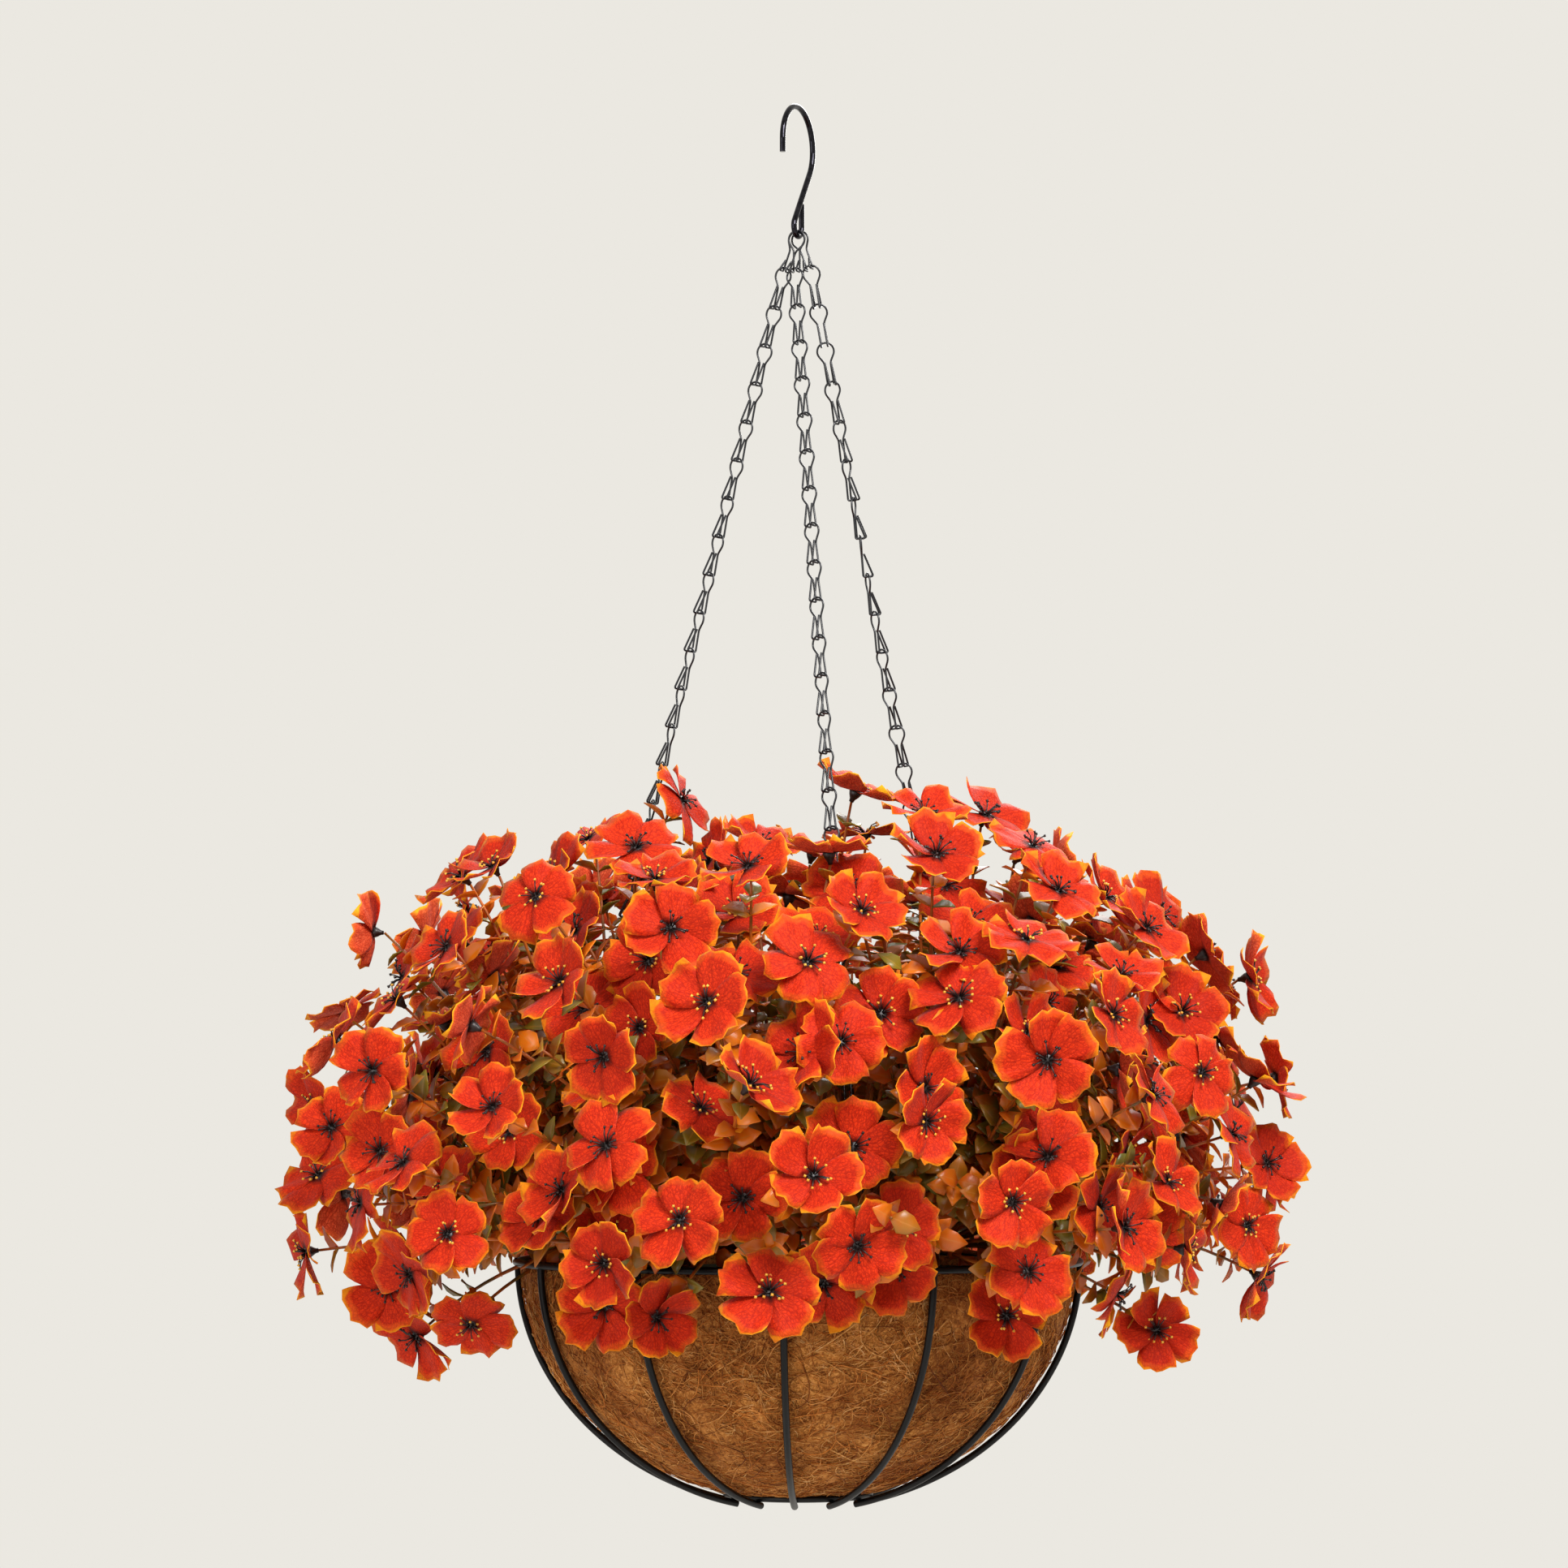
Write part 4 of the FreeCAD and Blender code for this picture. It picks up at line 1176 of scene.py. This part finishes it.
flower_bush = bush_of(places)
sprig_bush = bush_of(sprigs)
for index, bush in enumerate(BUSH_NAMES):
    mine = flower_bush == index
    origins, facing = places[mine], facings[mine]
    frames = axes_facing(facing)
    scales = FLOWER_RADIUS * draw.uniform(0.9, 1.08, len(origins))
    flower_piece(index, origins, frames, scales)
    stamen_piece(index, origins, frames, scales)
    root = bush_root(index)
    branches = branch_paths(root, origins, facing)
    shoots = branch_paths(root, sprigs[sprig_bush == index], sprig_facing[sprig_bush == index])
    paths = np.concatenate([branches, shoots])
    stem_piece(index, paths)
    low_origin, low_frames = leaf_frames(branches, 0.35, 0.93, 8)
    top_origin, top_frames = leaf_frames(shoots, 0.45, 0.99, 9)
    leaf_origin = np.concatenate([low_origin, top_origin])
    leaf_frame = np.concatenate([low_frames, top_frames])
    radius = np.linalg.norm(leaf_origin[:, :2], axis=-1)
    low_down = leaf_origin[:, 2] < RIM_LEVEL + 9 * MM
    on_wire = (np.abs(radius - RIM_RADIUS) < LEAF_RIM_CLEARANCE) & low_down
    keep = (chain_distance(leaf_origin) > LEAF_CHAIN_CLEARANCE) & ~on_wire
    leaf_origin, leaf_frame = leaf_origin[keep], leaf_frame[keep]
    leaf_scale = draw.uniform(*LEAF_LENGTHS, len(leaf_origin)) * MM
    leaf_piece(index, leaf_origin, leaf_frame, leaf_scale)
    print(bush, "flowers", len(origins), "leaves", len(leaf_origin), "branches", len(paths))

# %% [markdown]
# ## Foam and stakes
#
# The foam that the stakes stand in is dry floral foam, dark green with open pores.  It and the
# stakes hide under the leaves, so they keep the frame's shape and only take a finish.

# %% Foam
def dry_foam():
    """Phenolic foam: matt, dark green, with pores under a millimetre wide."""
    material, tree, shader = new_material("dry_floral_foam", 0.95, Specular_IOR_Level=0.2)
    place = add_node(tree, "ShaderNodeTexCoord").outputs["Object"]
    pores = add_node(tree, "ShaderNodeTexVoronoi", {"Vector": place, "Scale": 1 / (0.9 * MM)})
    colour = add_node(
        tree, "ShaderNodeValToRGB", {0: pores.outputs["Distance"]},
        stops=[(0.1, "#1B2616"), (0.7, "#35452A")],
    ).outputs["Color"]
    feed_shader(tree, shader, Base_Color=colour)
    bump = add_node(
        tree, "ShaderNodeBump",
        {"Height": pores.outputs["Distance"], "Strength": 0.6, "Distance": 0.4 * MM},
    )
    feed_shader(tree, shader, Normal=bump.outputs["Normal"])
    return material


coat(dry_foam(), ("foam_block",))
coat(stem_finish, ("stake_",))

# %% [markdown]
# ## Studio
#
# The object hangs, so the floor lies well below it.  A large soft light stands in front and
# above, a weaker one fills from the left, and the pale floor and surroundings throw light
# back up under the bowl.  The camera sees the surroundings as one warm off-white.

# %% Floor
FLOOR_LEVEL = cad_bounds[0][2] - 0.55    # the basket hangs this far above it, in metres
FLOOR_REACH = 3.2                        # kept short of the main view's lower edge


def floor_piece():
    """A round pale floor: a disc of rings whose edge is far outside the view."""
    rings, turns = 8, 96
    radius = np.linspace(0.0005, FLOOR_REACH, rings)[:, None]
    angle = np.linspace(0, 2 * np.pi, turns, endpoint=False)[None]
    points = np.stack([radius * np.cos(angle), radius * np.sin(angle),
                       np.full((rings, turns), FLOOR_LEVEL)], axis=-1).reshape(-1, 3)
    material, tree, shader = new_material("pale_studio_floor", 0.7)
    place = add_node(tree, "ShaderNodeTexCoord").outputs["Object"]
    mottle = add_node(tree, "ShaderNodeTexNoise", {"Vector": place, "Scale": 2.0})
    colour = add_node(
        tree, "ShaderNodeValToRGB", {0: mottle.outputs["Fac"]},
        stops=[(0.3, "#D2CEC6"), (0.7, "#D8D4CC")],
    ).outputs["Color"]
    feed_shader(tree, shader, Base_Color=colour)
    floor = make_piece("studio_floor", points, [grid_faces(rings, turns, wrap=True)], [material])


floor_piece()
print("floor level: %.3f m" % FLOOR_LEVEL)

# %% Surroundings
def surroundings():
    """World: the camera and mirrors see warm off-white; other rays get a soft studio dome."""
    world = bpy.data.worlds.new("studio_surroundings")
    bpy.context.scene.world = world
    world.use_nodes = True
    tree = world.node_tree
    tree.nodes.clear()
    rays = add_node(tree, "ShaderNodeLightPath")
    place = add_node(tree, "ShaderNodeTexCoord").outputs["Generated"]
    height = add_node(tree, "ShaderNodeSeparateXYZ", {0: place}).outputs["Z"]
    lifted = add_node(tree, "ShaderNodeMapRange", {0: height, 1: -1.0})
    dome_colour = add_node(
        tree, "ShaderNodeValToRGB", {0: lifted.outputs[0]},
        stops=[(0.0, "#C8C4BC"), (0.5, "#BDBAB4"), (1.0, "#FFFFFF")],
    ).outputs["Color"]
    seen = add_node(
        tree, "ShaderNodeMath",
        {0: rays.outputs["Is Camera Ray"], 1: rays.outputs["Is Glossy Ray"]},
        operation="MAXIMUM",
    )
    wall = add_node(tree, "ShaderNodeBackground", {"Color": "#EBE8E1", "Strength": 1.0})
    dome = add_node(tree, "ShaderNodeBackground", {"Color": dome_colour, "Strength": 0.55})
    both = add_node(
        tree, "ShaderNodeMixShader",
        {0: seen.outputs[0], 1: dome.outputs[0], 2: wall.outputs[0]},
    )
    add_node(tree, "ShaderNodeOutputWorld", {"Surface": both.outputs[0]})


surroundings()

# %% Lamps
def soft_lamp(name, azimuth, elevation, distance, across, watts):
    """A square area lamp aimed at the basket from an angle round the viewer's side."""
    lamp = bpy.data.lights.new(name, "AREA")
    lamp.shape = "SQUARE"
    lamp.size = across
    lamp.energy = watts
    holder = bpy.data.objects.new(name, lamp)
    bpy.context.scene.collection.objects.link(holder)
    turn = VIEW_ANGLE + math.radians(azimuth)
    rise = math.radians(elevation)
    aim = Vector((0, 0, RIM_LEVEL + 40 * MM))
    away = Vector((math.sin(turn) * math.cos(rise), -math.cos(turn) * math.cos(rise),
                   math.sin(rise)))
    holder.location = aim + away * distance
    holder.rotation_euler = (-away).to_track_quat("-Z", "Y").to_euler()


soft_lamp("key_softbox", 28, 42, 2.2, 1.0, 56)
soft_lamp("fill_softbox", -40, 8, 2.6, 1.6, 24)
soft_lamp("back_softbox", 165, 35, 2.4, 1.2, 30)
print("lamps:", len(bpy.data.lights))

# %% Camera
VIEW_DISTANCE = 2.5
VIEW_WIDTH = 843.1248 * MM    # what the camera sees from side to side at the basket's axis
EYE_HEIGHT = 85 * MM          # above the rim
AIM_HEIGHT = 256 * MM         # above the rim
ASIDE = -7.5 * MM             # both stand this far to the right of the axis
SENSOR = 36.0


def camera():
    """A long lens, level with the flowers, that looks up a little at the middle of the chains."""
    lens = bpy.data.cameras.new("camera")
    lens.sensor_width = SENSOR
    lens.lens = SENSOR * VIEW_DISTANCE / VIEW_WIDTH
    lens.clip_end = 50
    holder = bpy.data.objects.new("camera", lens)
    bpy.context.scene.collection.objects.link(holder)
    right = Vector((math.cos(VIEW_ANGLE), math.sin(VIEW_ANGLE), 0))
    back = Vector((math.sin(VIEW_ANGLE), -math.cos(VIEW_ANGLE), 0))
    eye = Vector((0, 0, RIM_LEVEL + EYE_HEIGHT))
    holder.location = back * VIEW_DISTANCE + right * ASIDE + eye
    target = right * ASIDE + Vector((0, 0, RIM_LEVEL + AIM_HEIGHT))
    holder.rotation_euler = (target - holder.location).to_track_quat("-Z", "Y").to_euler()
    bpy.context.scene.camera = holder


camera()
print("camera lens: %.1f mm" % bpy.context.scene.camera.data.lens)
bpy.context.scene.view_settings.view_transform = "Standard"
